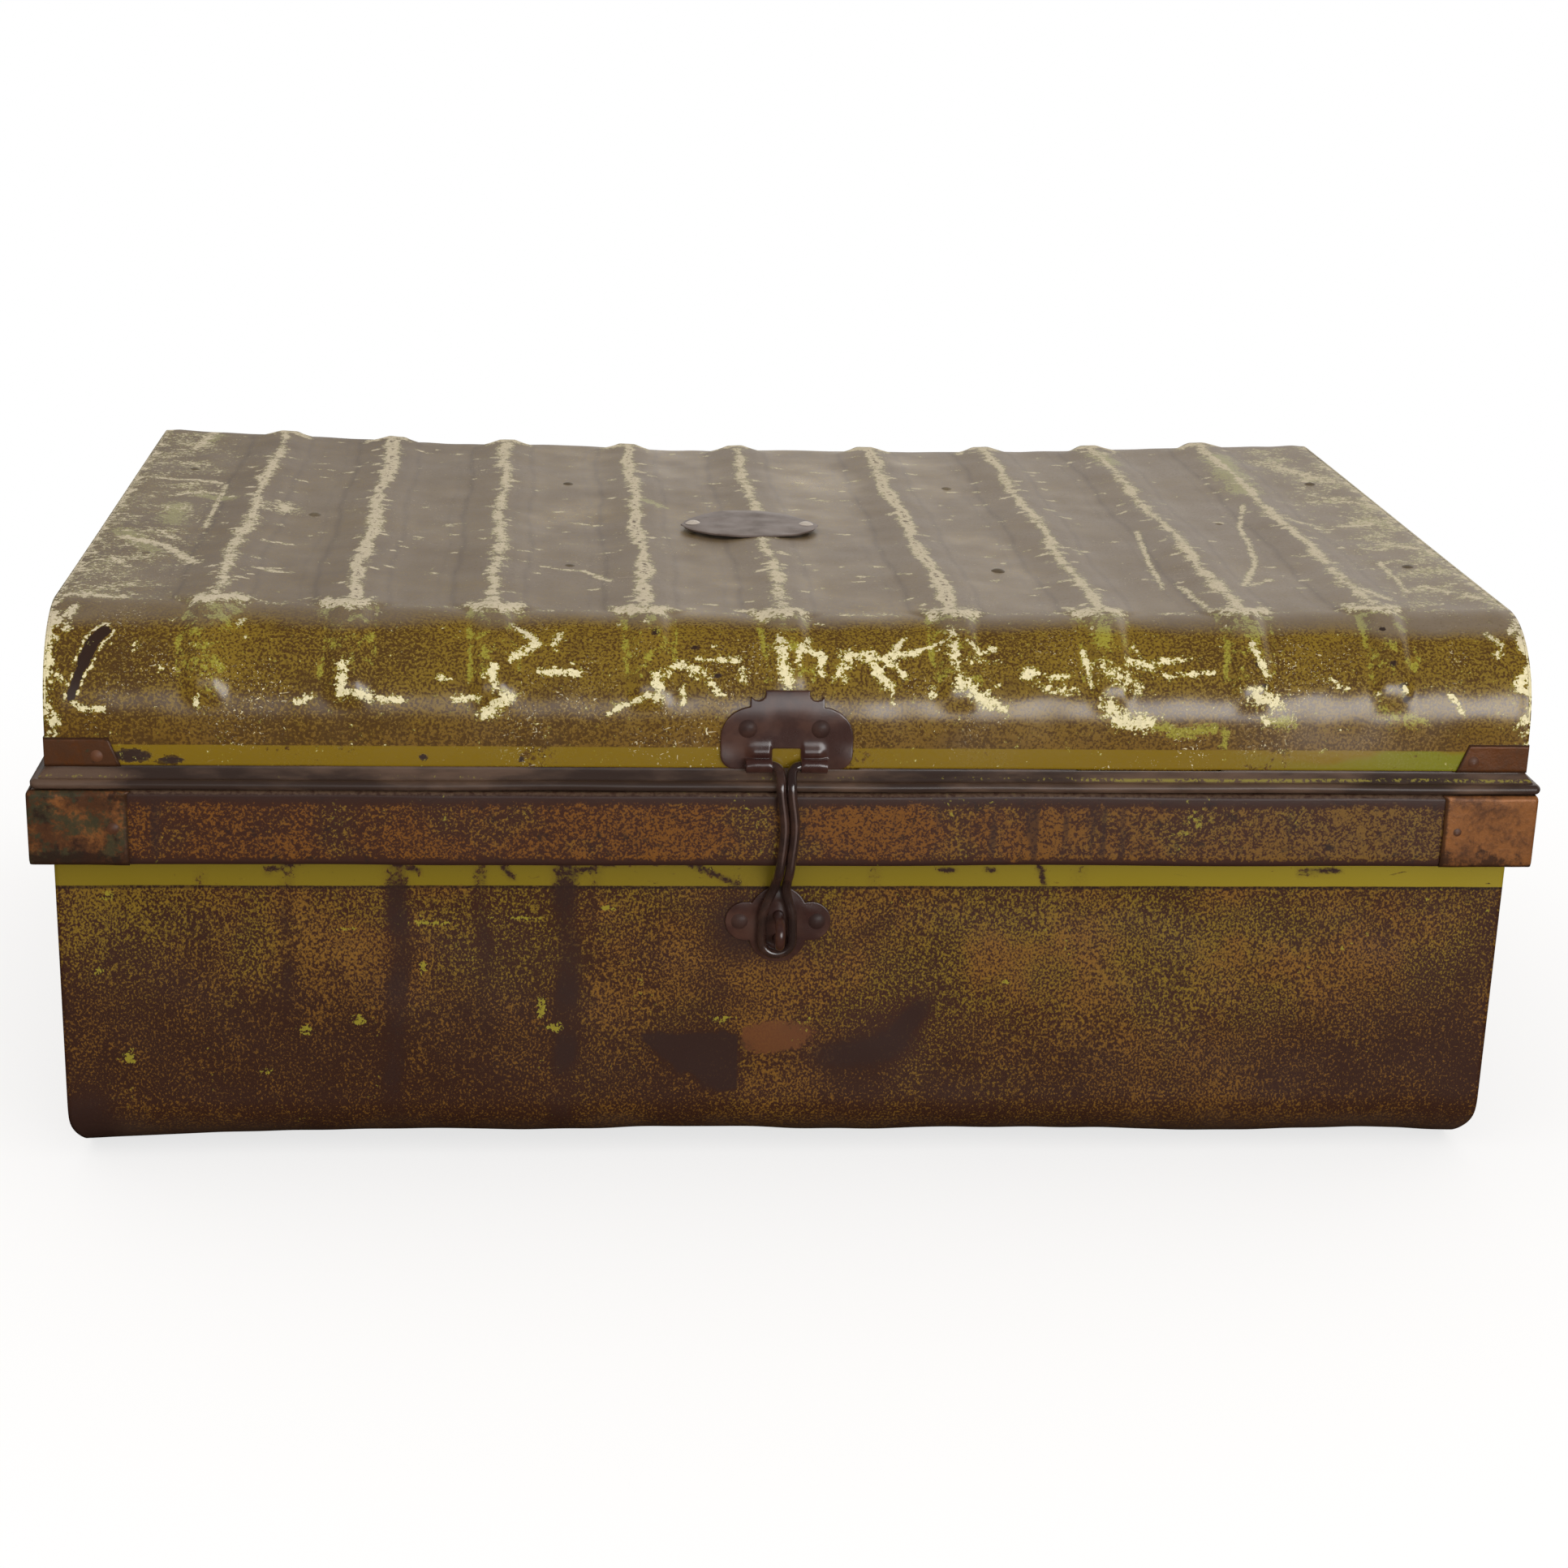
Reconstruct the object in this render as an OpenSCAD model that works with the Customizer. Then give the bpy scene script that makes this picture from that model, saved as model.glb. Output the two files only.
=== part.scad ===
// A ribbed tin trunk: a folded tub with a collar, a lid with swaged ribs,
// two back hinges, a wire hasp over a staple and a drop handle at each end.
// X runs along the length, the front faces -Y and the tub stands on z = 0.

/* [Trunk] */
// Length of the lid's shell
trunk_l = 660; // [560:10:800]
// Depth of the lid's shell, front to back
trunk_d = 457; // [380:1:560]
// Height of the tub up to the top of its collar
tub_h = 180; // [150:5:260]
// Height of the lid above the collar, without its ribs
lid_h = 74; // [72:1:110]
// Thickness of the tinplate
sheet = 0.8; // [0.6:0.1:1.2]
// Gap between the tub's mouth and the lid's walls
fit_gap = 1.4; // [1.1:0.1:2]
// Outer radius of the lid's front and back edges
lid_edge_r = 44; // [36:1:46]
// Outer radius of the tub's bottom edges
tub_edge_r = 28; // [15:1:40]
// Width of the flange that each end panel laps inside its wrap
lap_w = 8; // [6:1:12]

/* [Ribs] */
// Number of swaged ribs across the lid
rib_count = 9; // [5:1:9]
// Distance between ribs
rib_pitch = 66; // [50:1:68]
// Width of a rib at its foot
rib_w = 33; // [24:1:40]
// Width of a rib's crown
rib_crown_w = 17; // [8:1:20]
// Height of a rib
rib_h = 3; // [1.5:0.5:5]
// Angle above level at which a rib ends on the rounded edge
rib_end = 24; // [22:1:40]

/* [Collar and rim] */
// Height of the collar round the top of the tub
collar_h = 34; // [26:1:45]
// How far the collar stands out from the tub's walls
collar_out = 8.7; // [8:0.1:11]
// Radius of the collar's shoulder
shoulder_r = 2.5; // [1.5:0.1:3]
// Height of the tub's mouth above the collar
mouth_h = 14; // [11:1:16]
// Diameter of the tub's wired mouth
mouth_wire_d = 3.2; // [2.4:0.2:4]
// Diameter of the wire in the lid's rim
rim_wire_d = 2.8; // [2:0.2:3.2]
// Height of the lid's rim, from the wire to the wall
rim_h = 6.7; // [6:0.1:9]
// Bend radius of the rim at the corners
rim_bend = 3; // [2.8:0.1:6]
// Gap between the closed lid's rim and the collar
seat_gap = 0.3; // [0.2:0.05:0.6]

/* [Corner pieces] */
// Thickness of the corner pieces
corner_t = 0.6; // [0.4:0.1:1]
// Width of a collar corner on each face
collar_corner_w = 43.5; // [30:0.5:60]
// Width of a lid corner on each face
lid_corner_w = 33; // [26:0.5:50]
// Height of a lid corner
lid_corner_h = 13; // [10:0.5:16]
// Distance of a corner's rivet from its inner edge
corner_rivet_in = 7; // [5:0.5:10]

/* [Hasp] */
// Place of the lock along the length
lock_x = -7; // [-60:1:60]
// Diameter of the hasp's wire
hasp_wire_d = 4.5; // [3.5:0.1:5]
// Thickness of the lock's plates
lock_t = 0.8; // [0.6:0.1:1.2]
// Width of the hasp plate
hasp_plate_w = 59; // [54:1:70]
// Height of the hasp plate up to its ears
hasp_plate_h = 33; // [31:1:33]
// Width of the window that the hasp comes through
hasp_window_w = 12.6; // [12.5:0.1:15]
// Length of the barrel that holds the hasp
hasp_barrel_l = 36.4; // [32:0.2:40]
// Height of the hasp's pivot above the rim
hasp_pivot_up = 2.6; // [2.4:0.1:4]
// Clear width of the hasp's eye
eye_w = 9; // [8:0.5:12]
// Straight height of the hasp's eye
eye_run = 12; // [10:0.5:12.5]
// Clearance between the hasp's wire and what it hangs in front of
hasp_clear = 1.1; // [0.6:0.1:2]
// Width of the staple plate
staple_plate_w = 48; // [44:1:60]
// Height of the staple plate
staple_plate_h = 36.5; // [34:0.5:44]
// Diameter of the staple's wire
staple_wire_d = 4.4; // [3.5:0.1:5]
// Height of the staple, outside
staple_h = 15.4; // [14:0.2:17]
// How far the staple stands out from its plate
staple_out = 17; // [15:0.5:20]

/* [Name plate] */
// Length of the bare plate on the lid
name_plate_l = 70; // [60:1:90]
// Width of the bare plate on the lid
name_plate_w = 58; // [44:1:60]
// Thickness of the bare plate
name_plate_t = 0.8; // [0.6:0.1:1.5]

/* [Hinges] */
// Distance between the two hinges, centre to centre
hinge_pitch = 400; // [250:10:520]
// Width of a hinge
hinge_w = 34; // [26:1:50]
// Thickness of the hinge leaves
leaf_t = 1; // [0.8:0.1:1.4]
// Diameter of the hinge pin
hinge_pin_d = 3.2; // [2.6:0.1:3.6]
// Outer radius of the hinge barrel
hinge_barrel_r = 3; // [2.8:0.1:3.4]
// Height of the lid leaf on the wall
lid_leaf_h = 18; // [14:1:18]
// Height of the tub leaf on the collar
tub_leaf_h = 20; // [18:1:22]

/* [Handles] */
// Height of the handles' pivots above the floor
handle_z = 118; // [90:1:122]
// Diameter of the handle's rod
bail_d = 6; // [5:0.5:8]
// Inner width of the handle between its legs
bail_w = 80; // [70:2:110]
// Drop of the handle from pivot to grip
bail_drop = 38; // [32:1:50]
// Bend radius of the handle's lower corners
bail_bend = 10; // [7:0.5:14]
// Length of each clip that holds the handle
clip_l = 12; // [10:1:18]
// Height of a clip's foot
clip_h = 32; // [30:1:40]
// Thickness of the clips and of the handle's backing plate
clip_t = 1.2; // [0.8:0.1:1.6]

/* [Rivets] */
// Head diameter of the lock's rivets
lock_rivet_d = 8.4; // [6:0.2:9]
// Head diameter of the name plate's rivets
name_rivet_d = 7.6; // [5:0.2:9]
// Head diameter of the small rivets
small_rivet_d = 6; // [4:0.2:7]
// Head diameter of the rivets in the lid's roof
roof_rivet_d = 7; // [5:0.2:8]
// Diameter of every rivet's shank
shank_d = 3; // [2:0.2:3.4]

/* [Roof straps] */
// Width of the stiffening straps under the roof
strap_w = 15; // [12:1:24]
// Thickness of the stiffening straps
strap_t = 1.2; // [0.8:0.1:2]
// Distance from the middle strap to the outer ones
strap_pitch = 94; // [70:1:120]
// How far the straps' middle lies in front of the lid's
strap_shift = 7.6; // [0:1:20]

/* [Hidden] */
$fn = 96;

// Half sizes of the lid, the tub and the collar, and the main heights
lid_x = trunk_l / 2;
lid_y = trunk_d / 2;
tub_x = lid_x - sheet - fit_gap;
tub_y = lid_y - sheet - fit_gap;
collar_x = tub_x + collar_out;
collar_y = tub_y + collar_out;
collar_z = tub_h - collar_h;
mouth_z = tub_h + mouth_h;
lid_top = tub_h + lid_h;
roof_z = lid_top - sheet;
rib_top = lid_top + rib_h;
over = 1;                     // how far a cutter runs past what it cuts

// Rim of the lid: a flared sheet rolled round a wire
wire_play = 0.05;             // gap between a rolled edge and its wire
rim_r = rim_wire_d / 2 + wire_play + sheet;
rim_x = collar_x - rim_r;
rim_y = collar_y - rim_r;
rim_z = tub_h + seat_gap + rim_r;
wall_z = rim_z + rim_h;
flare_t = sheet * 1.2;        // level thickness of the flared sheet
flare_out = 0.4;              // the flare meets the rim this far outside its centre

// Hand-set drift of each rib from its even place
rib_drift = [3, -2, -5, -2, -6, 4, 6, 4, 2];

// Fits
pin_play = 0.08;              // radial play of a pin that turns
pin_press = 0.02;             // radial play of a pin that is held
hole_play = 0.05;             // radial play of a rivet's hole
tail_h = 0.7;                 // height of a rivet's inner head
lap_gap = 2;                  // a lap flange stops this far from the mouth
part_gap = 0.5;               // gap between neighbouring knuckles and edges

// Rivets
dome = 0.36;                  // height of a rivet's head over its radius
tail_d = shank_d * 1.6;       // diameter of its inner head

// Hasp
wire_r = hasp_wire_d / 2;
barrel_t = 0.9;               // thickness of the rolled barrel
barrel_r = wire_r + pin_play + barrel_t;
hasp_rivet_x = 16.2;          // each rivet's distance from the hasp's middle
hasp_rivet_up = 19;           // and its height above the rim
pivot_y = -(lid_y + barrel_r);
pivot_z = wall_z + hasp_pivot_up;
hang_y = -(collar_y + hasp_clear + wire_r);
plate_y = -(tub_y + lock_t);
eye_y = plate_y - hasp_clear / 2 - wire_r;
leg_x = wire_r + 0.1;         // centre of each leg from the hasp's middle
eye_x = eye_w / 2 + wire_r;
end_bend = 3;                 // bend radius where a leg turns into its pin
knee_bend = 6;                // bend radius of the knees over and under the collar
staple_r = staple_wire_d / 2;
eye_drop = 2.2;               // gap between the staple and the bottom of the eye
eye_low = staple_h / 2 + eye_drop + wire_r;
staple_z = collar_z - 32;     // middle of the staple
staple_in = 1.5;              // how far the staple's legs run past the wall
bow_r = staple_h / 2 - staple_r;
bow_y = tub_y + lock_t + staple_out - staple_r - bow_r;
eye_z = staple_z - eye_low + eye_x;
knee_z = collar_z - 2.4;      // knee under the collar
ball_r = wire_r + 0.05;       // weld balls hide the joints of the bent wire
ease = 0.2;                   // each length stops this far short of its joint

// Hinges
hinge_y = collar_y + seat_gap + hinge_barrel_r;
hinge_z = tub_h - 4;
hinge_x = hinge_pitch / 2;
pin_r = hinge_pin_d / 2;
knuckle_l = hinge_w / 4;
leaf_top = hinge_z - hinge_barrel_r - part_gap;
leaf_foot = wall_z + 2.5;     // lower edge of the lid leaf on the wall
pin_head_t = 1;               // thickness of the pin's peened heads
pin_head_out = 0.7;           // how far they stand out round the pin

// Handles
bail_r = bail_d / 2;
clip_r = bail_r + pin_play + clip_t;
handle_x = tub_x + clip_t + clip_r;
leg_y = bail_w / 2 + bail_r;
ear_bend = 5;                 // bend radius where a leg turns into its pivot
clip_y = leg_y + ear_bend + clip_l / 2 + 1;
plate_edge = 3;               // the backing plate shows this much round the clips
handle_plate_h = clip_h + 2 * plate_edge;
handle_plate_l = 2 * clip_y + clip_l + 2 * plate_edge;
clip_rivet_in = 5;            // distance of a clip's rivet from its end

corner_lip = 0.9;             // how far a corner piece runs in over the collar's shoulder

// Roof rivets stand in the flats between and beside the ribs
last_rib = rib_count - 1;
rivet_out = 24;               // end rivets stand this far outside the end ribs
far_rivets = [rib_x(0) - rib_w / 2 - rivet_out, rib_x(last_rib) + rib_w / 2 + rivet_out];
mid_rivets = [between_ribs(0), between_ribs(last_rib - 1)];
near_rivets = [between_ribs(2), between_ribs(last_rib - 3)];
strap_end = 8;                // how far a strap runs past its last rivet

// Name plate
name_x = lock_x - 4;
name_y = -18;
name_rivet_in = 6;            // distance of its rivets from the plate's tips

// Lid corners
corner_slant = 5;             // how far a lid corner's ends lean in
corner_rivet_up = 5;          // height of its rivets above the rim

// --- Sections and carriers ---

// Extrudes a Y-Z section along X
module along_x(l) {
    rotate([90, 0, 90]) linear_extrude(l, center = true) children();
}

// Extrudes an X-Z section along Y
module along_y(l) {
    rotate([90, 0, 0]) linear_extrude(l, center = true) children();
}

module both_x() {
    children();
    mirror([1, 0, 0]) children();
}

module both_y() {
    children();
    mirror([0, 1, 0]) children();
}

// An upright section with a flat side at z0 and two corners of radius r at z1
module arched(half, z0, z1, r) {
    low = min(z0, z1);
    span = abs(z1 - z0);
    toward = z1 > z0 ? 1 : -1;
    inner_low = toward > 0 ? low : low + r;
    translate([-half, inner_low]) square([2 * half, span - r]);
    translate([-(half - r), low]) square([2 * (half - r), span]);
    for (side = [-1, 1]) translate([side * (half - r), z1 - toward * r]) circle(r);
}

// Wedge of the plan that belongs to the front wall, cut at the 45 degree mitres
module front_sector() {
    reach = 40;
    linear_extrude(rib_top + over) polygon([
        [-collar_x - reach, -collar_y - reach], [collar_x + reach, -collar_y - reach],
        [collar_x - reach, -collar_y + reach], [-collar_x + reach, -collar_y + reach]]);
}

// The same for the right-hand wall
module right_sector() {
    reach = 40;
    linear_extrude(rib_top + over) polygon([
        [collar_x + reach, -collar_y - reach], [collar_x + reach, collar_y + reach],
        [collar_x - reach, collar_y - reach], [collar_x - reach, -collar_y + reach]]);
}

// Puts children on a wall with their +Z pointing out of it
module on_front(x, y, z) {
    translate([x, -y, z]) rotate([90, 0, 0]) children();
}

module on_back(x, y, z) {
    translate([x, y, z]) rotate([-90, 0, 0]) children();
}

module on_right(x, y, z) {
    translate([x, y, z]) rotate([0, 90, 0]) children();
}

// A tube or wire bent round the plan, half_x by half_y at its centre line
module ring_wire(half_x, half_y, z, r, bend) {
    both_y() translate([0, half_y, z]) rotate([0, 90, 0])
        cylinder(h = 2 * (half_x - bend), r = r, center = true);
    both_x() translate([half_x, 0, z]) rotate([90, 0, 0])
        cylinder(h = 2 * (half_y - bend), r = r, center = true);
    both_x() both_y() translate([half_x - bend, half_y - bend, z])
        rotate_extrude(angle = 90) translate([bend, 0]) circle(r);
}

// Domed rivet that stands on z = 0 and grips what lies below it
module rivet(head_d, grip) {
    head_r = head_d / 2;
    head_h = head_r * dome;
    dome_r = (head_r * head_r + head_h * head_h) / (2 * head_h);
    intersection() {
        translate([0, 0, head_h - dome_r]) sphere(dome_r);
        cylinder(h = head_h + over, r = head_r + over);
    }
    translate([0, 0, -grip]) cylinder(h = grip + head_h / 2, d = shank_d);
    translate([0, 0, -grip - tail_h]) cylinder(h = tail_h, d = tail_d);
}

module rivet_hole(grip) {
    translate([0, 0, -grip - over]) cylinder(h = grip + 2 * over, d = shank_d + 2 * hole_play);
}

// --- Tub ---

module tub_section(inset, top) {
    arched(tub_y - inset, top, inset, tub_edge_r - inset);
}

// Front wall, bottom and back wall folded from one sheet
module tub_wrap() {
    color("saddlebrown") difference() {
        along_x(2 * tub_x) tub_section(0, mouth_z);
        along_x(2 * tub_x + 2 * over) tub_section(sheet, mouth_z + over);
        staple_rivet_spots() rivet_hole(lock_t + sheet);
        staple_legs(hole_play);
    }
}

module tub_end_right() {
    color("saddlebrown") difference() {
        translate([tub_x - lap_w / 2, 0, 0]) along_x(lap_w) tub_section(sheet, mouth_z);
        translate([tub_x - sheet - lap_w, 0, 0]) along_x(2 * lap_w)
            tub_section(2 * sheet, mouth_z + over);
        translate([tub_x - lap_w - over, -lid_y, mouth_z - mouth_wire_d - lap_gap])
            cube([lap_w + over - sheet, trunk_d, mouth_h]);
        handle_rivet_spots() rivet_hole(2 * clip_t + sheet);
    }
}

// Rolled wire hem inside the mouth
module mouth_wire() {
    hem_r = mouth_wire_d / 2;
    color("saddlebrown")
        ring_wire(tub_x - sheet - hem_r, tub_y - sheet - hem_r, mouth_z - hem_r, hem_r, 2 * hem_r);
}

// --- Collar: a hollow box section round the top of the tub ---

// The room that the collar fills, grown on every side but its floor
module collar_block(grow, floor_z) {
    intersection() {
        along_x(2 * collar_x + 2 * grow) arched(collar_y + grow, floor_z, tub_h + grow,
            shoulder_r + grow);
        along_y(2 * collar_y + 2 * grow) arched(collar_x + grow, floor_z, tub_h + grow,
            shoulder_r + grow);
    }
}

// Hollow section of the collar, open towards the tub's wall
module collar_section(half, wall) {
    difference() {
        arched(half, collar_z, tub_h, shoulder_r);
        arched(half - sheet, collar_z + sheet, tub_h - sheet, shoulder_r - sheet);
        translate([-wall, collar_z - over]) square([2 * wall, collar_h + 2 * over]);
    }
}

module collar_holes() {
    collar_rivet_spots() rivet_hole(corner_t + sheet);
    tub_leaf_rivet_spots() rivet_hole(leaf_t + sheet);
}

module collar_front() {
    color("sienna") difference() {
        intersection() {
            along_x(2 * collar_x) collar_section(collar_y, tub_y);
            front_sector();
        }
        collar_holes();
    }
}

module collar_back() {
    color("sienna") difference() {
        intersection() {
            along_x(2 * collar_x) collar_section(collar_y, tub_y);
            mirror([0, 1, 0]) front_sector();
        }
        collar_holes();
    }
}

module collar_right() {
    color("sienna") difference() {
        intersection() {
            along_y(2 * collar_y) collar_section(collar_x, tub_x);
            right_sector();
        }
        collar_holes();
    }
}

module collar_left() {
    color("sienna") difference() {
        intersection() {
            along_y(2 * collar_y) collar_section(collar_x, tub_x);
            mirror([1, 0, 0]) right_sector();
        }
        collar_holes();
    }
}

// L-shaped piece folded round one corner of the collar, its upper lip clear of the lid's rim
module collar_corner() {
    color("peru") difference() {
        intersection() {
            collar_block(corner_t, collar_z + corner_t);
            translate([collar_x + corner_t - collar_corner_w, collar_y + corner_t - collar_corner_w,
                collar_z]) cube(collar_corner_w);
        }
        collar_block(0, collar_z);
        translate([0, 0, tub_h - shoulder_r]) linear_extrude(shoulder_r + over)
            square([2 * collar_x - 2 * corner_lip, 2 * collar_y - 2 * corner_lip], center = true);
        collar_rivet_spots() rivet_hole(corner_t + sheet);
    }
}

module collar_rivet_spots() {
    from_end = collar_corner_w - corner_rivet_in;
    mid_z = tub_h - collar_h / 2;
    both_x() both_y() {
        on_back(collar_x - from_end, collar_y + corner_t, mid_z) children();
        on_right(collar_x + corner_t, collar_y - from_end, mid_z) children();
    }
}

module collar_rivets() {
    color("peru") collar_rivet_spots() rivet(small_rivet_d, corner_t + sheet);
}

// --- Staple ---

module staple_plate() {
    lobe_r = 9.4;
    lobe_up = 1.5;
    waist_r = 13;
    rise = staple_plate_h / 2 - waist_r;
    color("#2b2020") difference() {
        on_front(lock_x, tub_y, staple_z + 1) linear_extrude(lock_t) {
            for (side = [-1, 1]) {
                translate([side * (staple_plate_w / 2 - lobe_r), lobe_up]) circle(lobe_r);
                translate([0, side * rise]) circle(waist_r);
            }
            square([2 * waist_r, 2 * rise], center = true);
            square([staple_plate_w - 2 * lobe_r, lobe_r], center = true);
        }
        staple_rivet_spots() rivet_hole(lock_t + sheet);
        staple_legs(hole_play);
    }
}

module staple_rivet_spots() {
    from_end = 6.6;
    for (side = [-1, 1])
        on_front(lock_x + side * (staple_plate_w / 2 - from_end), tub_y + lock_t, staple_z + 2.5)
            children();
}

module staple_rivets() {
    color("#2b2020") staple_rivet_spots() rivet(lock_rivet_d, lock_t + sheet);
}

// The two legs of the staple, from inside the wall out to the bow
module staple_legs(play) {
    inside_y = tub_y - sheet - staple_in;
    for (side = [-1, 1])
        on_front(lock_x, inside_y, staple_z + side * bow_r)
            cylinder(h = bow_y - inside_y, r = staple_r + play);
}

// Loop of wire through the plate and the wall
module staple() {
    color("#2b2020") {
        staple_legs(0);
        translate([lock_x, -bow_y, staple_z]) rotate([0, 90, 0]) rotate([0, 0, 180])
            rotate_extrude(angle = 180) translate([bow_r, 0]) circle(staple_r);
    }
}

// --- Hinges ---

module barrel_x(x, l, r) {
    translate([x, hinge_y, hinge_z]) rotate([0, 90, 0]) cylinder(h = l, r = r, center = true);
}

module tub_leaf() {
    side_x = (hinge_w - knuckle_l) / 2;
    color("#2b2020") difference() {
        union() {
            translate([hinge_x - hinge_w / 2, collar_y, leaf_top - tub_leaf_h])
                cube([hinge_w, leaf_t, tub_leaf_h]);
            for (side = [-1, 1]) {
                barrel_x(hinge_x + side * side_x, knuckle_l, hinge_barrel_r);
                translate([hinge_x + side * side_x - knuckle_l / 2, collar_y, leaf_top - over])
                    cube([knuckle_l, leaf_t, hinge_z - leaf_top + over]);
            }
        }
        barrel_x(hinge_x, hinge_w + 2 * over, pin_r + pin_press);
        tub_leaf_rivet_spots() rivet_hole(leaf_t + sheet);
    }
}

// Two rivets near the knuckles and one near the foot
module tub_leaf_rivet_spots() {
    aside = hinge_w * 0.3;
    high = leaf_top - tub_leaf_h * 0.3;
    low = leaf_top - tub_leaf_h * 0.72;
    both_x() for (spot = [[-aside, high], [aside, high], [0, low]])
        on_back(hinge_x + spot[0], collar_y + leaf_t, spot[1]) children();
}

module tub_leaf_rivets() {
    color("#2b2020") tub_leaf_rivet_spots() rivet(small_rivet_d, leaf_t + sheet);
}

// Pin with a peened head at each end
module hinge_pin() {
    head_x = hinge_w / 2 + pin_head_t / 2 + pin_play;
    color("dimgray") {
        barrel_x(hinge_x, hinge_w + 2 * pin_head_t, pin_r);
        for (side = [-1, 1])
            barrel_x(hinge_x + side * head_x, pin_head_t, pin_r + pin_head_out);
    }
}

// Strap on the back wall that cranks out over the rim to the pin
module lid_leaf() {
    crank_y = collar_y + 0.6;
    crank_z = rim_z + rim_r + 1;
    outer_lift = leaf_t / 2;
    knuckle_w = hinge_w - 2 * knuckle_l - 2 * part_gap;
    color("#2b2020") difference() {
        union() {
            translate([hinge_x - hinge_w / 2, lid_y, leaf_foot])
                cube([hinge_w, leaf_t, lid_leaf_h]);
            translate([hinge_x, 0, 0]) along_x(knuckle_w) polygon([
                [lid_y, leaf_foot + over], [lid_y, leaf_foot], [crank_y, crank_z],
                [crank_y, hinge_z], [crank_y + leaf_t, hinge_z],
                [crank_y + leaf_t, crank_z + outer_lift], [lid_y + leaf_t, leaf_foot + outer_lift],
                [lid_y + leaf_t, leaf_foot + over]]);
            barrel_x(hinge_x, knuckle_w, hinge_barrel_r);
        }
        barrel_x(hinge_x, hinge_w + 2 * over, pin_r + pin_play);
        lid_leaf_rivet_spots() rivet_hole(leaf_t + sheet);
    }
}

module lid_leaf_rivet_spots() {
    both_x() for (side = [-1, 1])
        on_back(hinge_x + side * hinge_w * 0.28, lid_y + leaf_t, leaf_foot + lid_leaf_h / 2)
            children();
}

module lid_leaf_rivets() {
    color("#2b2020") lid_leaf_rivet_spots() rivet(small_rivet_d, leaf_t + sheet);
}

// --- Handles ---

module handle_plate() {
    color("#3a2c22") difference() {
        translate([tub_x, -handle_plate_l / 2, handle_z - handle_plate_h / 2])
            cube([clip_t, handle_plate_l, handle_plate_h]);
        handle_rivet_spots() rivet_hole(2 * clip_t + sheet);
    }
}

module handle_clips() {
    plate_x = tub_x + clip_t;
    color("#2b2020") both_y() difference() {
        union() {
            translate([plate_x, clip_y - clip_l / 2, handle_z - clip_h / 2])
                cube([clip_t, clip_l, clip_h]);
            translate([handle_x, clip_y, handle_z]) rotate([90, 0, 0])
                cylinder(h = clip_l, r = clip_r, center = true);
        }
        translate([handle_x, clip_y, handle_z]) rotate([90, 0, 0])
            cylinder(h = clip_l + 2 * over, r = bail_r + pin_play, center = true);
        handle_rivet_spots() rivet_hole(2 * clip_t + sheet);
    }
}

module handle_rivet_spots() {
    both_y() for (side = [-1, 1])
        on_right(tub_x + 2 * clip_t, clip_y, handle_z + side * (clip_h / 2 - clip_rivet_in))
            children();
}

module handle_rivets() {
    color("#2b2020") handle_rivet_spots() rivet(small_rivet_d, 2 * clip_t + sheet);
}

// Drop handle bent from one rod, its ends turned out into the clips
module bail() {
    grip_z = handle_z - bail_drop;
    pin_y = leg_y + ear_bend;
    color("#3a2c22") translate([handle_x, 0, 0]) {
        both_y() {
            translate([0, pin_y, handle_z]) rotate([-90, 0, 0])
                cylinder(h = clip_l + 2, r = bail_r);
            translate([0, pin_y, handle_z - ear_bend]) rotate([0, -90, 0]) rotate([0, 0, -90])
                rotate_extrude(angle = 90) translate([ear_bend, 0]) circle(bail_r);
            translate([0, leg_y, grip_z + bail_bend])
                cylinder(h = bail_drop - bail_bend - ear_bend, r = bail_r);
            translate([0, leg_y - bail_bend, grip_z + bail_bend]) rotate([0, -90, 0])
                rotate([0, 0, 90]) rotate_extrude(angle = 90) translate([bail_bend, 0])
                circle(bail_r);
        }
        translate([0, 0, grip_z]) rotate([90, 0, 0])
            cylinder(h = 2 * (leg_y - bail_bend), r = bail_r, center = true);
    }
}

// --- Lid ---

function rib_x(i) = (i - (rib_count - 1) / 2) * rib_pitch + rib_drift[i];

function between_ribs(i) = (rib_x(i) + rib_x(i + 1)) / 2;

// Section of the lid's shell: its rounded edges are cut off level with the foot of its walls
module lid_section(inset, low) {
    half = lid_y - inset;
    intersection() {
        arched(half, low, lid_top - inset, lid_edge_r - inset);
        translate([-half - over, low]) square([2 * half + 2 * over, lid_h + over]);
    }
}

// One swaged rib over the roof and both rounded edges, drawn in by inset
module rib(inset) {
    foot = (rib_w - inset) / 2;
    crown = (rib_crown_w - inset) / 2;
    root_r = lid_edge_r - inset;
    root_z = lid_top - inset;
    sunk = sheet / 2;
    sweep = 90 - rib_end - (inset > 0 ? 1 : 0);
    along_y(2 * (lid_y - lid_edge_r)) polygon([
        [-foot, root_z - sunk], [-foot, root_z], [-crown, root_z + rib_h],
        [crown, root_z + rib_h], [foot, root_z], [foot, root_z - sunk]]);
    both_y() translate([0, -(lid_y - lid_edge_r), lid_top - lid_edge_r]) rotate([0, 90, 0])
        rotate([0, 0, 180]) rotate_extrude(angle = sweep) polygon([
            [root_r - sunk, -foot], [root_r, -foot], [root_r + rib_h, -crown],
            [root_r + rib_h, crown], [root_r, foot], [root_r - sunk, foot]]);
}

module ribs(inset) {
    for (i = [0:last_rib]) translate([rib_x(i), 0, 0]) rib(inset);
}

// Flared sheet from a wall's foot down to the rim, for the wall on the plus side
module flare_section(wall, bead) {
    polygon([
        [wall, wall_z + over], [wall - sheet, wall_z + over], [wall - sheet, wall_z],
        [bead + flare_out - flare_t, rim_z], [bead + flare_out, rim_z], [wall, wall_z]]);
}

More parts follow.
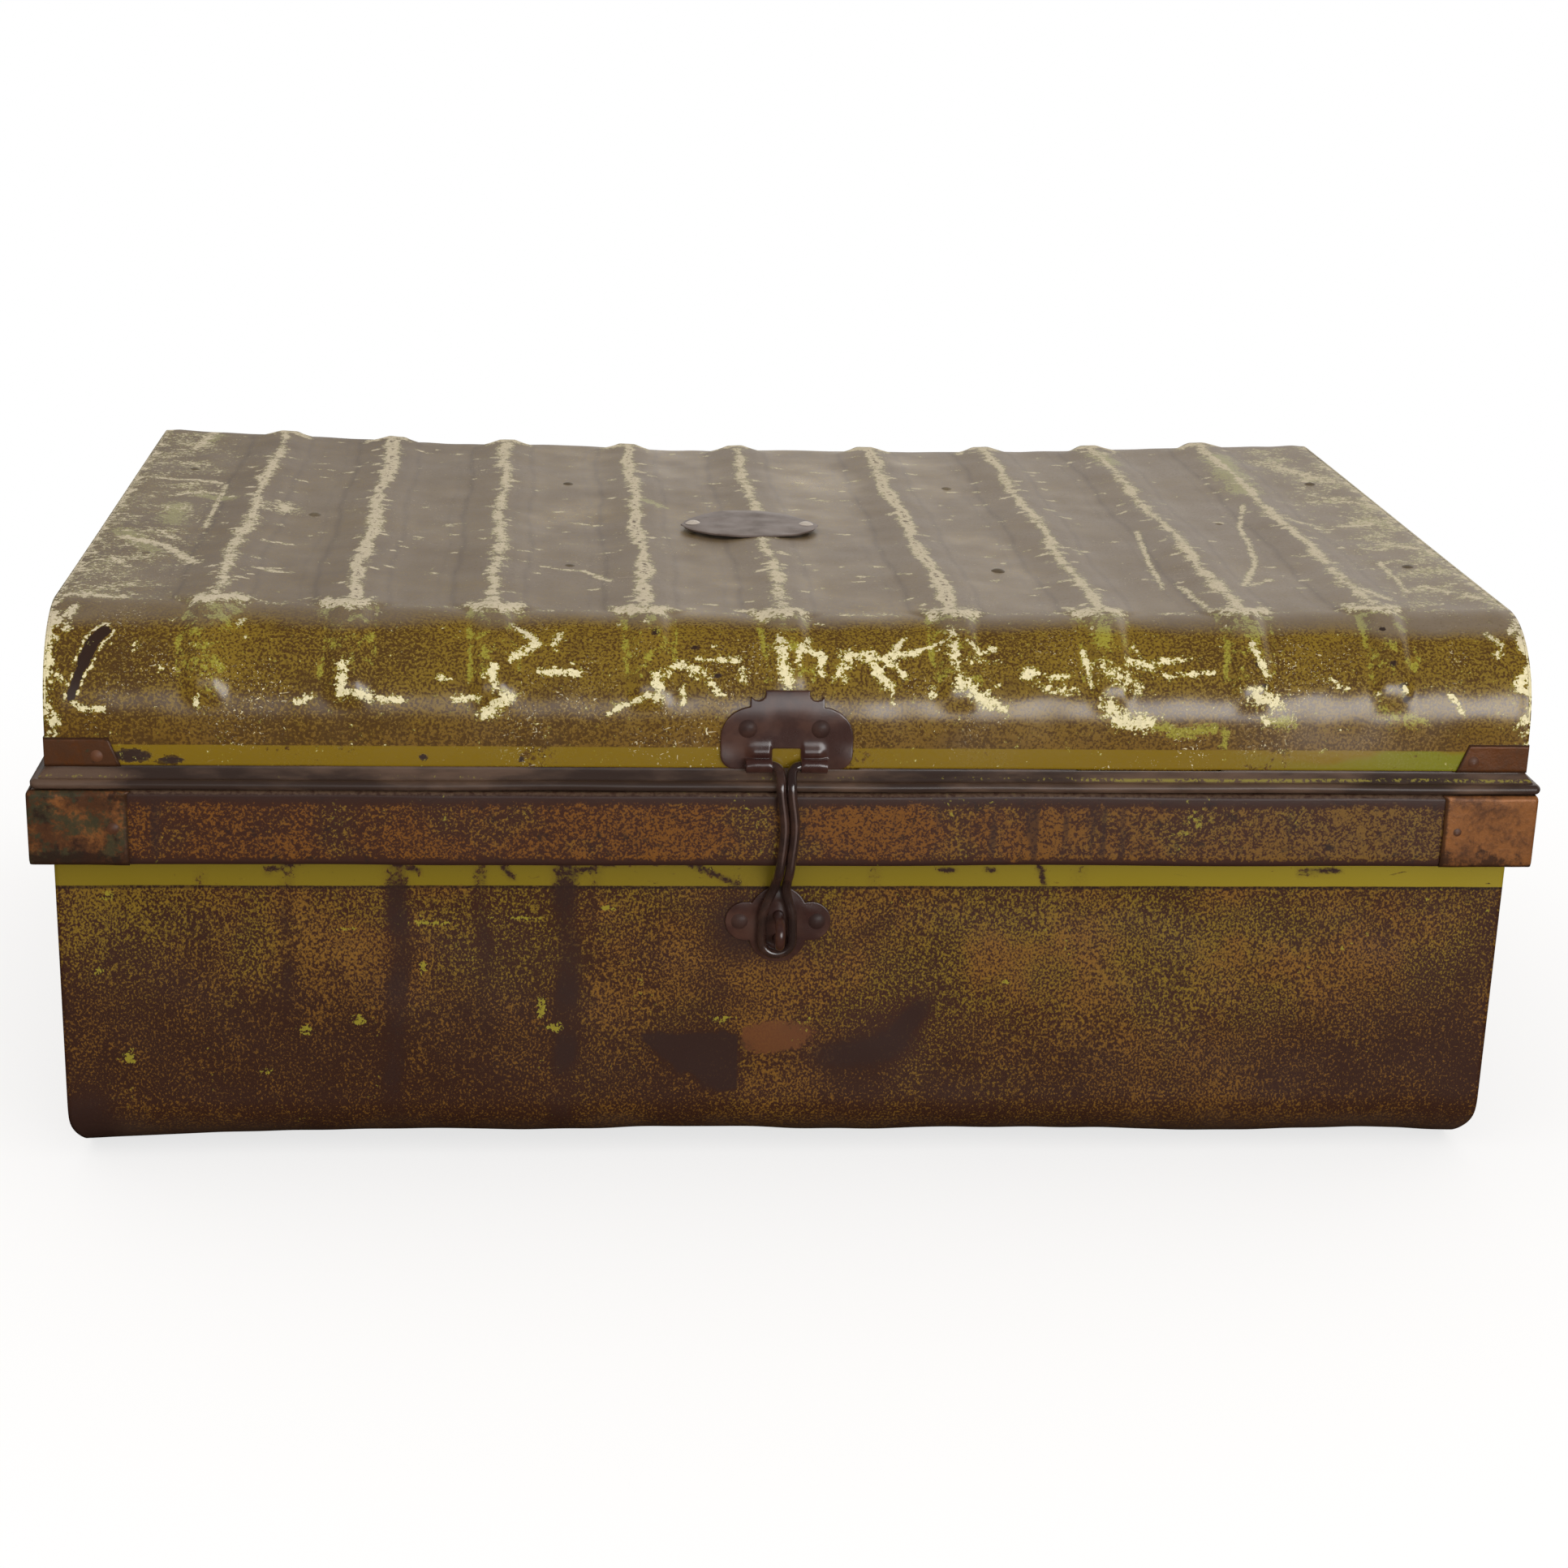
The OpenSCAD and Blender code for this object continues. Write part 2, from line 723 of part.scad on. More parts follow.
module rim_ring(r) {
    ring_wire(rim_x, rim_y, rim_z, r, rim_bend);
}

// Flared and rolled edge below the front wall, mitred at its ends
module rim_front() {
    difference() {
        intersection() {
            union() {
                mirror([0, 1, 0]) along_x(2 * collar_x) flare_section(lid_y, rim_y);
                rim_ring(rim_r);
            }
            front_sector();
        }
        rim_ring(rim_wire_d / 2 + wire_play);
    }
}

// The same below the right-hand wall
module rim_right() {
    difference() {
        intersection() {
            union() {
                along_y(2 * collar_y) flare_section(lid_x, rim_x);
                rim_ring(rim_r);
            }
            right_sector();
        }
        rim_ring(rim_wire_d / 2 + wire_play);
    }
}

module rim_wire() {
    color("dimgray") rim_ring(rim_wire_d / 2);
}

// Front wall, ribbed roof and back wall folded from one sheet
module lid_wrap() {
    color("olive") {
        difference() {
            union() {
                along_x(trunk_l) lid_section(0, wall_z);
                ribs(0);
            }
            along_x(trunk_l + 2 * over) lid_section(sheet, wall_z - over);
            ribs(sheet);
            lid_corner_rivet_spots() rivet_hole(corner_t + sheet);
            hasp_plate_rivet_spots() rivet_hole(lock_t + sheet);
            name_plate_rivet_spots() rivet_hole(name_plate_t + rib_h + sheet);
            lid_leaf_rivet_spots() rivet_hole(leaf_t + sheet);
            roof_rivet_spots() rivet_hole(sheet + strap_t);
        }
        both_y() rim_front();
    }
}

module lid_end_right() {
    color("olive") {
        difference() {
            translate([lid_x - lap_w / 2, 0, 0]) along_x(lap_w) lid_section(sheet, wall_z);
            translate([lid_x - sheet - lap_w, 0, 0]) along_x(2 * lap_w)
                lid_section(2 * sheet, wall_z - over);
            translate([lid_x - lap_w - over, -lid_y, wall_z - over])
                cube([lap_w + over - sheet, trunk_d, mouth_z + lap_gap - wall_z + over]);
            lid_corner_rivet_spots() rivet_hole(corner_t + sheet);
        }
        rim_right();
    }
}

// L-shaped piece over one lower corner of the lid, with slanted ends
module lid_corner() {
    top = wall_z + lid_corner_h;
    color("peru") difference() {
        union() {
            on_back(0, lid_y, 0) linear_extrude(corner_t) mirror([0, 1, 0]) polygon([
                [lid_x - lid_corner_w, wall_z], [lid_x + corner_t, wall_z],
                [lid_x + corner_t, top], [lid_x - lid_corner_w + corner_slant, top]]);
            translate([lid_x, 0, 0]) rotate([90, 0, 90]) linear_extrude(corner_t) polygon([
                [lid_y - lid_corner_w, wall_z], [lid_y + corner_t, wall_z],
                [lid_y + corner_t, top], [lid_y - lid_corner_w + corner_slant, top]]);
        }
        lid_corner_rivet_spots() rivet_hole(corner_t + sheet);
    }
}

module lid_corner_rivet_spots() {
    from_end = lid_corner_w - corner_slant / 2 - corner_rivet_in;
    spot_z = wall_z + corner_rivet_up;
    both_x() both_y() {
        on_back(lid_x - from_end, lid_y + corner_t, spot_z) children();
        on_right(lid_x + corner_t, lid_y - from_end, spot_z) children();
    }
}

module lid_corner_rivets() {
    color("peru") lid_corner_rivet_spots() rivet(small_rivet_d, corner_t + sheet);
}

// --- Name plate ---

// Lens-shaped bare plate that lies on the crown of the middle rib
module name_plate() {
    bow = (pow(name_plate_l, 2) / 4 + pow(name_plate_w, 2) / 4) / name_plate_w;
    color("#3a2f2c") difference() {
        translate([name_x, name_y, rib_top]) linear_extrude(name_plate_t) intersection() {
            translate([0, bow - name_plate_w / 2]) circle(bow);
            translate([0, name_plate_w / 2 - bow]) circle(bow);
        }
        name_plate_rivet_spots() rivet_hole(name_plate_t + rib_h + sheet);
    }
}

module name_plate_rivet_spots() {
    for (side = [-1, 1])
        translate([name_x + side * (name_plate_l / 2 - name_rivet_in), name_y,
            rib_top + name_plate_t]) children();
}

module name_plate_rivets() {
    color("silver") name_plate_rivet_spots() rivet(name_rivet_d, name_plate_t + rib_h + sheet);
}

// --- Hasp ---

// Outline of the hasp plate, seen from the front, with z as its second axis: round feet,
// round shoulders, two notched ears and a lobe between them
module hasp_plate_outline() {
    low = wall_z + 0.3;
    ears = low + hasp_plate_h;
    half = hasp_plate_w / 2;
    foot_r = 7;
    swell_r = 14;
    shoulder_z = ears - 18.5;
    ears_half = 16.5;
    lobe_half = 10;
    lobe_h = 2.6;
    notch_r = 3.2;
    notch_x = 13;
    window_top = pivot_z + barrel_r + 4;
    difference() {
        union() {
            for (side = [-1, 1]) {
                translate([side * (half - swell_r), shoulder_z]) circle(swell_r);
                translate([side * (half - foot_r), low + foot_r]) circle(foot_r);
            }
            translate([-half, low + foot_r]) square([2 * half, shoulder_z - low - foot_r]);
            translate([-(half - foot_r), low]) square([2 * (half - foot_r), foot_r]);
            translate([-ears_half, low]) square([2 * ears_half, ears - low]);
            translate([-lobe_half, low]) square([2 * lobe_half, ears - low + lobe_h]);
        }
        for (side = [-1, 1])
            translate([side * notch_x, ears + notch_r - (ears_half - notch_x) / 2]) circle(notch_r);
        translate([-hasp_window_w / 2, low - over])
            square([hasp_window_w, window_top - low + over]);
    }
}

// Pressed plate that follows the wall and the rounded edge, rolled into a barrel
module hasp_plate() {
    color("#2b2020") difference() {
        union() {
            intersection() {
                difference() {
                    along_x(trunk_l) lid_section(-lock_t, wall_z);
                    along_x(trunk_l + 2 * over) lid_section(0, wall_z - over);
                }
                on_front(lock_x, lid_y - lid_edge_r / 2, 0)
                    linear_extrude(lid_edge_r / 2 + lock_t + over) hasp_plate_outline();
            }
            for (side = [-1, 1]) {
                l = (hasp_barrel_l - hasp_window_w) / 2;
                translate([lock_x + side * (hasp_window_w + l) / 2, pivot_y, pivot_z])
                    rotate([0, 90, 0]) cylinder(h = l, r = barrel_r, center = true);
            }
        }
        translate([lock_x, pivot_y, pivot_z]) rotate([0, 90, 0])
            cylinder(h = hasp_barrel_l + 2 * over, r = wire_r + pin_play, center = true);
        hasp_plate_rivet_spots() rivet_hole(lock_t + sheet);
    }
}

module hasp_plate_rivet_spots() {
    for (side = [-1, 1])
        on_front(lock_x + side * hasp_rivet_x, lid_y + lock_t, wall_z + hasp_rivet_up)
            children();
}

module hasp_plate_rivets() {
    color("#2b2020") hasp_plate_rivet_spots() rivet(lock_rivet_d, lock_t + sheet);
}

// Arc of the hasp's wire round the local Z axis, with a weld ball where it starts
module wire_arc(bend, start, end) {
    short = ease / bend * 180 / PI;
    rotate([0, 0, min(start, end) + short])
        rotate_extrude(angle = abs(end - start) - 2 * short) translate([bend, 0]) circle(wire_r);
    rotate([0, 0, start]) translate([bend, 0, 0]) sphere(ball_r);
}

// The arc in the X-Z plane
module bend_xz(x, y, z, bend, start, end) {
    translate([x, y, z]) rotate([90, 0, 0]) wire_arc(bend, start, end);
}

// The arc in the Y-Z plane
module bend_yz(x, y, z, bend, start, end) {
    translate([x, y, z]) rotate([90, 0, 90]) wire_arc(bend, start, end);
}

// Straight length of wire that drops by h from a height
module drop(x, y, z, h) {
    translate([x, y, z - h + ease]) cylinder(h = h - 2 * ease, r = wire_r);
    translate([x, y, z]) sphere(ball_r);
}

// One leg of the hasp, from its pin over the rim and the collar to the eye
module hasp_leg() {
    knee_t = knee_bend * tan(22.5);
    reach = pivot_y - hang_y;
    knee1_z = pivot_z - reach;
    back = eye_y - hang_y;
    knee3_z = knee_z - back;
    flare_r = (eye_x - leg_x) / (2 * (1 - cos(45)));
    flare_h = 2 * flare_r * sin(45);
    eye_top = eye_z + eye_run;
    pin_end = hasp_barrel_l / 2 - part_gap;
    pin_start = leg_x + end_bend;
    translate([0, pivot_y, pivot_z]) rotate([-45, 0, 0]) {
        translate([pin_start + ease, 0, 0]) rotate([0, 90, 0])
            cylinder(h = pin_end - pin_start - ease, r = wire_r);
        bend_xz(pin_start, 0, -end_bend, end_bend, 90, 180);
        drop(leg_x, 0, -end_bend, reach * sqrt(2) - end_bend - knee_t);
    }
    bend_yz(leg_x, hang_y + knee_bend, knee1_z - knee_t, knee_bend, 135, 180);
    drop(leg_x, hang_y, knee1_z - knee_t, knee1_z - knee_z - 2 * knee_t);
    bend_yz(leg_x, hang_y + knee_bend, knee_z + knee_t, knee_bend, 180, 225);
    translate([0, hang_y, knee_z]) rotate([45, 0, 0])
        drop(leg_x, 0, -knee_t, back * sqrt(2) - 2 * knee_t);
    bend_yz(leg_x, eye_y - knee_bend, knee3_z - knee_t, knee_bend, 45, 0);
    drop(leg_x, eye_y, knee3_z - knee_t, knee3_z - knee_t - eye_top - flare_h);
    bend_xz(leg_x + flare_r, eye_y, eye_top + flare_h, flare_r, 180, 225);
    bend_xz(eye_x - flare_r, eye_y, eye_top, flare_r, 45, 0);
    drop(eye_x, eye_y, eye_top, eye_run);
}

module hasp() {
    color("#241c1c") translate([lock_x, 0, 0]) {
        both_x() hasp_leg();
        bend_xz(0, eye_y, eye_z, eye_x, 180, 360);
        translate([eye_x, eye_y, eye_z]) sphere(ball_r);
    }
}

// --- Roof straps ---

module roof_rivet_spots() {
    for (side = [-1, 1]) for (x = concat(far_rivets, near_rivets))
        translate([x, side * strap_pitch - strap_shift, lid_top]) children();
    for (x = mid_rivets) translate([x, -strap_shift, lid_top]) children();
}

// A strap below the roof, cut away where a rivet of the name plate comes down beside it
module roof_strap(y, ends) {
    color("dimgray") difference() {
        translate([ends[0] - strap_end, y - strap_w / 2, roof_z - strap_t])
            cube([ends[1] - ends[0] + 2 * strap_end, strap_w, strap_t]);
        roof_rivet_spots() rivet_hole(sheet + strap_t);
        name_plate_rivet_spots() translate([0, 0, -name_plate_t - rib_h - sheet - strap_t - over])
            cylinder(h = strap_t + 2 * over, d = tail_d + 2 * hole_play);
    }
}

module roof_rivets() {
    color("#4a3c2c") roof_rivet_spots() rivet(roof_rivet_d, sheet + strap_t);
}

tub_wrap();
mirror([1, 0, 0]) tub_end_right();  // tub_end_left
tub_end_right();
mouth_wire();
collar_front();
collar_back();
collar_left();
collar_right();
rotate([0, 0, 180])  // collar_corner_front_left
    collar_corner();
mirror([0, 1, 0]) collar_corner();  // collar_corner_front_right
mirror([1, 0, 0]) collar_corner();  // collar_corner_back_left
collar_corner();  // collar_corner_back_right
collar_rivets();
staple_plate();
staple();
staple_rivets();
mirror([1, 0, 0]) tub_leaf();  // tub_leaf_left
tub_leaf();  // tub_leaf_right
mirror([1, 0, 0]) hinge_pin();  // hinge_pin_left
hinge_pin();  // hinge_pin_right
tub_leaf_rivets();
mirror([1, 0, 0]) handle_plate();  // handle_plate_left
handle_plate();  // handle_plate_right
mirror([1, 0, 0]) handle_clips();  // handle_clips_left
handle_clips();  // handle_clips_right
mirror([1, 0, 0]) handle_rivets();  // handle_rivets_left
handle_rivets();  // handle_rivets_right
mirror([1, 0, 0]) bail();  // bail_left
bail();  // bail_right
lid_wrap();
mirror([1, 0, 0]) lid_end_right();  // lid_end_left
lid_end_right();
rim_wire();
rotate([0, 0, 180])  // lid_corner_front_left
    lid_corner();
mirror([0, 1, 0]) lid_corner();  // lid_corner_front_right
mirror([1, 0, 0]) lid_corner();  // lid_corner_back_left
lid_corner();  // lid_corner_back_right
lid_corner_rivets();
name_plate();
name_plate_rivets();
hasp_plate();
hasp_plate_rivets();
hasp();
mirror([1, 0, 0]) lid_leaf();  // lid_leaf_left
lid_leaf();  // lid_leaf_right
lid_leaf_rivets();
roof_strap(-strap_pitch - strap_shift, far_rivets);  // roof_strap_front
roof_strap(-strap_shift, mid_rivets);  // roof_strap_middle
roof_strap(strap_pitch - strap_shift, far_rivets);  // roof_strap_back
roof_rivets();
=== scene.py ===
import math
import bmesh
import bpy
import numpy as np
from mathutils import Matrix, Vector


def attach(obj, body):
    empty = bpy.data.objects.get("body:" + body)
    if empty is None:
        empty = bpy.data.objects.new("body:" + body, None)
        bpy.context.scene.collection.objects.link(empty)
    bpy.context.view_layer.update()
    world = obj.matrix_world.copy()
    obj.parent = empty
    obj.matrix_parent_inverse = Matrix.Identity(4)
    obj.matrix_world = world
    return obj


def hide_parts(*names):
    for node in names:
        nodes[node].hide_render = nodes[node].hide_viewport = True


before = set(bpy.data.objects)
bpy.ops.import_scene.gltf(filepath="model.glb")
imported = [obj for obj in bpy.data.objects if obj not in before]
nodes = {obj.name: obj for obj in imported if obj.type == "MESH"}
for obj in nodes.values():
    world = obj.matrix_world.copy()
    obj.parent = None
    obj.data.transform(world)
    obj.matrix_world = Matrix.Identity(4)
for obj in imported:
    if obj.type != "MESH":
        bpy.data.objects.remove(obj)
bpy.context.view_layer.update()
mm = 0.001


# Shader writing

class Value:    # a socket that can stand in a sum
    def __init__(self, finish, socket):
        self.finish = finish
        self.socket = socket

    def __add__(self, other):
        return self.finish.sum("ADD", self, other)

    __radd__ = __add__

    def __sub__(self, other):
        return self.finish.sum("SUBTRACT", self, other)

    def __rsub__(self, other):
        return self.finish.sum("SUBTRACT", other, self)

    def __mul__(self, other):
        return self.finish.sum("MULTIPLY", self, other)

    __rmul__ = __mul__


class Finish:    # a node tree for one material or for the world
    def __init__(self, name, tree=None):
        if tree is None:
            self.material = bpy.data.materials.new(name)
            self.material.use_nodes = True
            tree = self.material.node_tree
        self.tree = tree
        self.tree.nodes.clear()

    def node(self, kind, settings=None, inputs=None, out=0):
        made = self.tree.nodes.new("ShaderNode" + kind)
        for key, value in (settings or {}).items():
            setattr(made, key, value)
        for key, value in (inputs or {}).items():
            if isinstance(value, Value):
                self.tree.links.new(value.socket, made.inputs[key])
            else:
                made.inputs[key].default_value = value
        if len(made.outputs):
            return Value(self, made.outputs[out])

    def sum(self, operation, a, b):
        return self.node("Math", {"operation": operation}, {0: a, 1: b})

    def least(self, a, b):
        return self.sum("MINIMUM", a, b)

    def most(self, a, b):
        return self.sum("MAXIMUM", a, b)

    def ramp(self, value, start, end):    # smooth step from 0 at start to 1 at end
        return self.node("MapRange", {"interpolation_type": "SMOOTHSTEP"},
                         {"Value": value, "From Min": start, "From Max": end})

    def span(self, value, start, end, soft):    # 1 between start and end
        return self.ramp(value, start - soft, start + soft) * (
            1 - self.ramp(value, end - soft, end + soft))

    def mix(self, a, b, share):    # colour a, or b where share is 1
        return self.node("Mix", {"data_type": "RGBA"}, {0: share, 6: a, 7: b}, out=2)

    def place(self, stretch=(1, 1, 1)):    # place on the piece, in mm
        found = self.node("TexCoord", out="Object")
        return self.node("Mapping", None, {"Vector": found, "Scale": [s / mm for s in stretch]})

    def parts(self, vector):
        outputs = self.node("SeparateXYZ", None, {0: vector}).socket.node.outputs
        return [Value(self, output) for output in outputs]

    def grain(self, vector, size, detail=3, rough=0.55, bend=0):
        return self.node("TexNoise", None, {
            "Vector": vector, "Scale": 1 / size, "Detail": detail,
            "Roughness": rough, "Distortion": bend})

    def painted(self, name):    # a value kept at the points of the mesh
        return self.node("Attribute", {"attribute_name": name}, out="Fac")

    def bump(self, height, strength, distance):
        return self.node("Bump", None, {
            "Height": height, "Strength": strength, "Distance": distance * mm})

    def surface(self, colour, rough, metal=0.0, gloss=0.5, normal=None, coat=0.0, coatRough=0.2):
        inputs = {"Base Color": colour, "Roughness": rough, "Metallic": metal,
                  "Specular IOR Level": gloss, "Coat Weight": coat, "Coat Roughness": coatRough}
        if normal is not None:
            inputs["Normal"] = normal
        shader = self.node("BsdfPrincipled", None, inputs)
        self.node("OutputMaterial", None, {"Surface": shader})
        return self.material


def linear(part):    # 0 to 255, as seen, to the value that a shader takes
    part /= 255
    return part / 12.92 if part <= 0.04045 else ((part + 0.055) / 1.055) ** 2.4


def colour(red, green, blue):
    return (linear(red), linear(green), linear(blue), 1)


# Sheet metal

def added(name, data):    # an object in the scene
    item = bpy.data.objects.new(name, data)
    bpy.context.scene.collection.objects.link(item)
    return item


def makeMesh(name, points, faces):
    made = bmesh.new()
    verts = [made.verts.new(p) for p in points]
    for face in faces:
        made.faces.new([verts[k] for k in face])
    mesh = bpy.data.meshes.new(name)
    made.to_mesh(mesh)
    made.free()
    mesh.polygons.foreach_set("use_smooth", [True] * len(mesh.polygons))
    return added(name, mesh)


def gridMesh(name, grid, centre=(0, 0, 120)):    # rows x columns x 3, in mm
    rows, columns = grid.shape[:2]
    faces = []
    for i in range(rows - 1):
        below, above = i * columns, (i + 1) * columns
        faces += [(below + j, below + j + 1, above + j + 1, above + j) for j in range(columns - 1)]
    return faceOut(makeMesh(name, grid.reshape(-1, 3) * mm, faces), centre)


def faceOut(item, centre):    # turns all faces of an open sheet away from a point
    mesh = item.data
    total = sum((face.center - Vector(centre) * mm).dot(face.normal) * face.area
                for face in mesh.polygons)
    if total < 0:
        mesh.flip_normals()
    return item


def keep(item, **values):    # stores values at the mesh's points for the shaders
    for name, value in values.items():
        attribute = item.data.attributes.new(name, "FLOAT", "POINT")
        attribute.data.foreach_set("value", np.asarray(value, np.float32).ravel())


def fit(item, body, materials, thick=0.0, stands=()):    # stands: CAD nodes
    for material in materials:
        item.data.materials.append(material)
    if thick:
        wall = item.modifiers.new("sheet", "SOLIDIFY")
        wall.thickness = thick * mm
        wall.offset = -1
        wall.material_offset = 1 if len(materials) > 1 else 0
    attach(item, body)
    if stands:
        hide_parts(*stands)
    return item


def ripple(u, v, size, seed, waves=10):    # smooth chance waves about zero
    chance = np.random.default_rng(seed)
    total = 0
    for _ in range(waves):
        turn, k = chance.uniform(0, 2 * math.pi), 2 * math.pi / size * chance.uniform(0.6, 1.7)
        total = total + np.sin(k * (u * math.cos(turn) + v * math.sin(turn))
                               + chance.uniform(0, 2 * math.pi))
    return total / math.sqrt(waves)


def step(value, start, end):
    t = np.clip((value - start) / (end - start), 0, 1)
    return t * t * (3 - 2 * t)


def spot(u, v, at, size, turn=0.0):    # soft oval that is 1 at its middle and 0.37 at size
    c, s = math.cos(math.radians(turn)), math.sin(math.radians(turn))
    du, dv = u - at[0], v - at[1]
    return np.exp(-((du * c + dv * s) / size[0]) ** 2 - ((dv * c - du * s) / size[1]) ** 2)


def stroke(u, v, points, width):    # 1 on the line, 0 at width from it
    best = np.full(np.broadcast(u, v).shape, 1e9)
    for (u0, v0), (u1, v1) in zip(points, points[1:]):
        du, dv = u1 - u0, v1 - v0
        t = np.clip(((u - u0) * du + (v - v0) * dv) / (du * du + dv * dv + 1e-9), 0, 1)
        best = np.minimum(best, (u - u0 - t * du) ** 2 + (v - v0 - t * dv) ** 2)
    return np.clip(1 - np.sqrt(best) / width, 0, 1)


def archLine(half, foot, top, radius, spacing):
    # From the front foot round both edges to the back foot: places, outward normals and run
    wallStep, arcStep, flatStep = spacing
    up = 1 if top > foot else -1
    wall = abs(top - foot) - radius
    flat = half - radius
    w = np.linspace(0, wall, max(2, round(wall / wallStep)), endpoint=False)
    a = np.linspace(0, math.pi / 2, max(6, round(radius * math.pi / 2 / arcStep)), endpoint=False)
    f = np.linspace(-flat, 0, max(2, round(flat / flatStep)), endpoint=False)
    y = np.concatenate([np.full(w.size, -half), -flat - radius * np.cos(a), f])
    z = np.concatenate([foot + up * w, top - up * radius * (1 - np.sin(a)), np.full(f.size, top)])
    ny = np.concatenate([np.full(w.size, -1.0), -np.cos(a), np.zeros(f.size)])
    nz = np.concatenate([np.zeros(w.size), up * np.sin(a), np.full(f.size, up)])
    y, ny = (np.concatenate([k, [0], -k[::-1]]) for k in (y, ny))
    z, nz = (np.concatenate([k, [middle], k[::-1]]) for k, middle in ((z, top), (nz, up)))
    run = np.concatenate([[0], np.cumsum(np.hypot(np.diff(y), np.diff(z)))])
    return y, z, ny, nz, run


# Finishes: in each, f is the finish, p the place on the piece and x, y and z its parts in mm

paint = {
    "olive": colour(123, 99, 20),
    "oliveBrown": colour(108, 76, 18),
    "oliveDeep": colour(76, 52, 17),
    "oliveTorn": colour(50, 29, 17),
    "dark": colour(30, 20, 16),
    "dust": colour(117, 103, 85),
    "tub": (colour(58, 32, 18), colour(60, 32, 21)),    # two tones, as with the next four
    "tubSpeck": (colour(121, 84, 27), colour(120, 96, 22)),
    "tubDark": (colour(54, 29, 17), colour(108, 73, 21)),
    "tubStripe": (colour(120, 103, 14), colour(138, 122, 24)),
    "tubRust": (colour(98, 58, 30), colour(64, 40, 26)),
    "tubWet": colour(50, 31, 26),
    "tubChip": colour(140, 130, 36),
    "band": colour(60, 32, 20),
    "bandSpeck": (colour(111, 69, 19), colour(117, 87, 23)),
    "bandRight": colour(104, 84, 36),
    "stripe": colour(121, 97, 8),
    "stripeGreen": colour(114, 114, 18),
    "green": colour(148, 143, 44),
    "greenRoof": colour(146, 144, 88),
    "cream": colour(222, 212, 170),
    "chalk": colour(190, 179, 154),
    "copper": colour(132, 84, 44),
    "copperBrown": colour(90, 50, 18),
    "copperDull": colour(80, 50, 30),
    "verdigris": colour(54, 62, 44),
    "iron": colour(54, 31, 27),
    "ironWarm": colour(74, 46, 36),
}
stripes = {
    "lid": (190.0, 199.2),    # from and to in height
    "tub": (133.0, 147.0),
    "soft": 0.35,
}


def scratches(f, angles, size, length, level):    # fine short lines in a few directions
    found = 0
    for k, angle in enumerate(angles):
        a = math.radians(angle)
        p = f.node("Mapping", None, {
            "Vector": f.place(), "Rotation": (0.3 * k, a, a),
            "Location": (37 * k, 11 * k, 5 * k)})    # each direction has its own lines
        p = f.node("Mapping", None, {"Vector": p, "Scale": (1 / length, 1, 1)})
        line = f.ramp(f.grain(p, size, 1.5, 0.5, 0.6), level, level + 0.03)
        found = line if k == 0 else f.most(found, line)
    return found


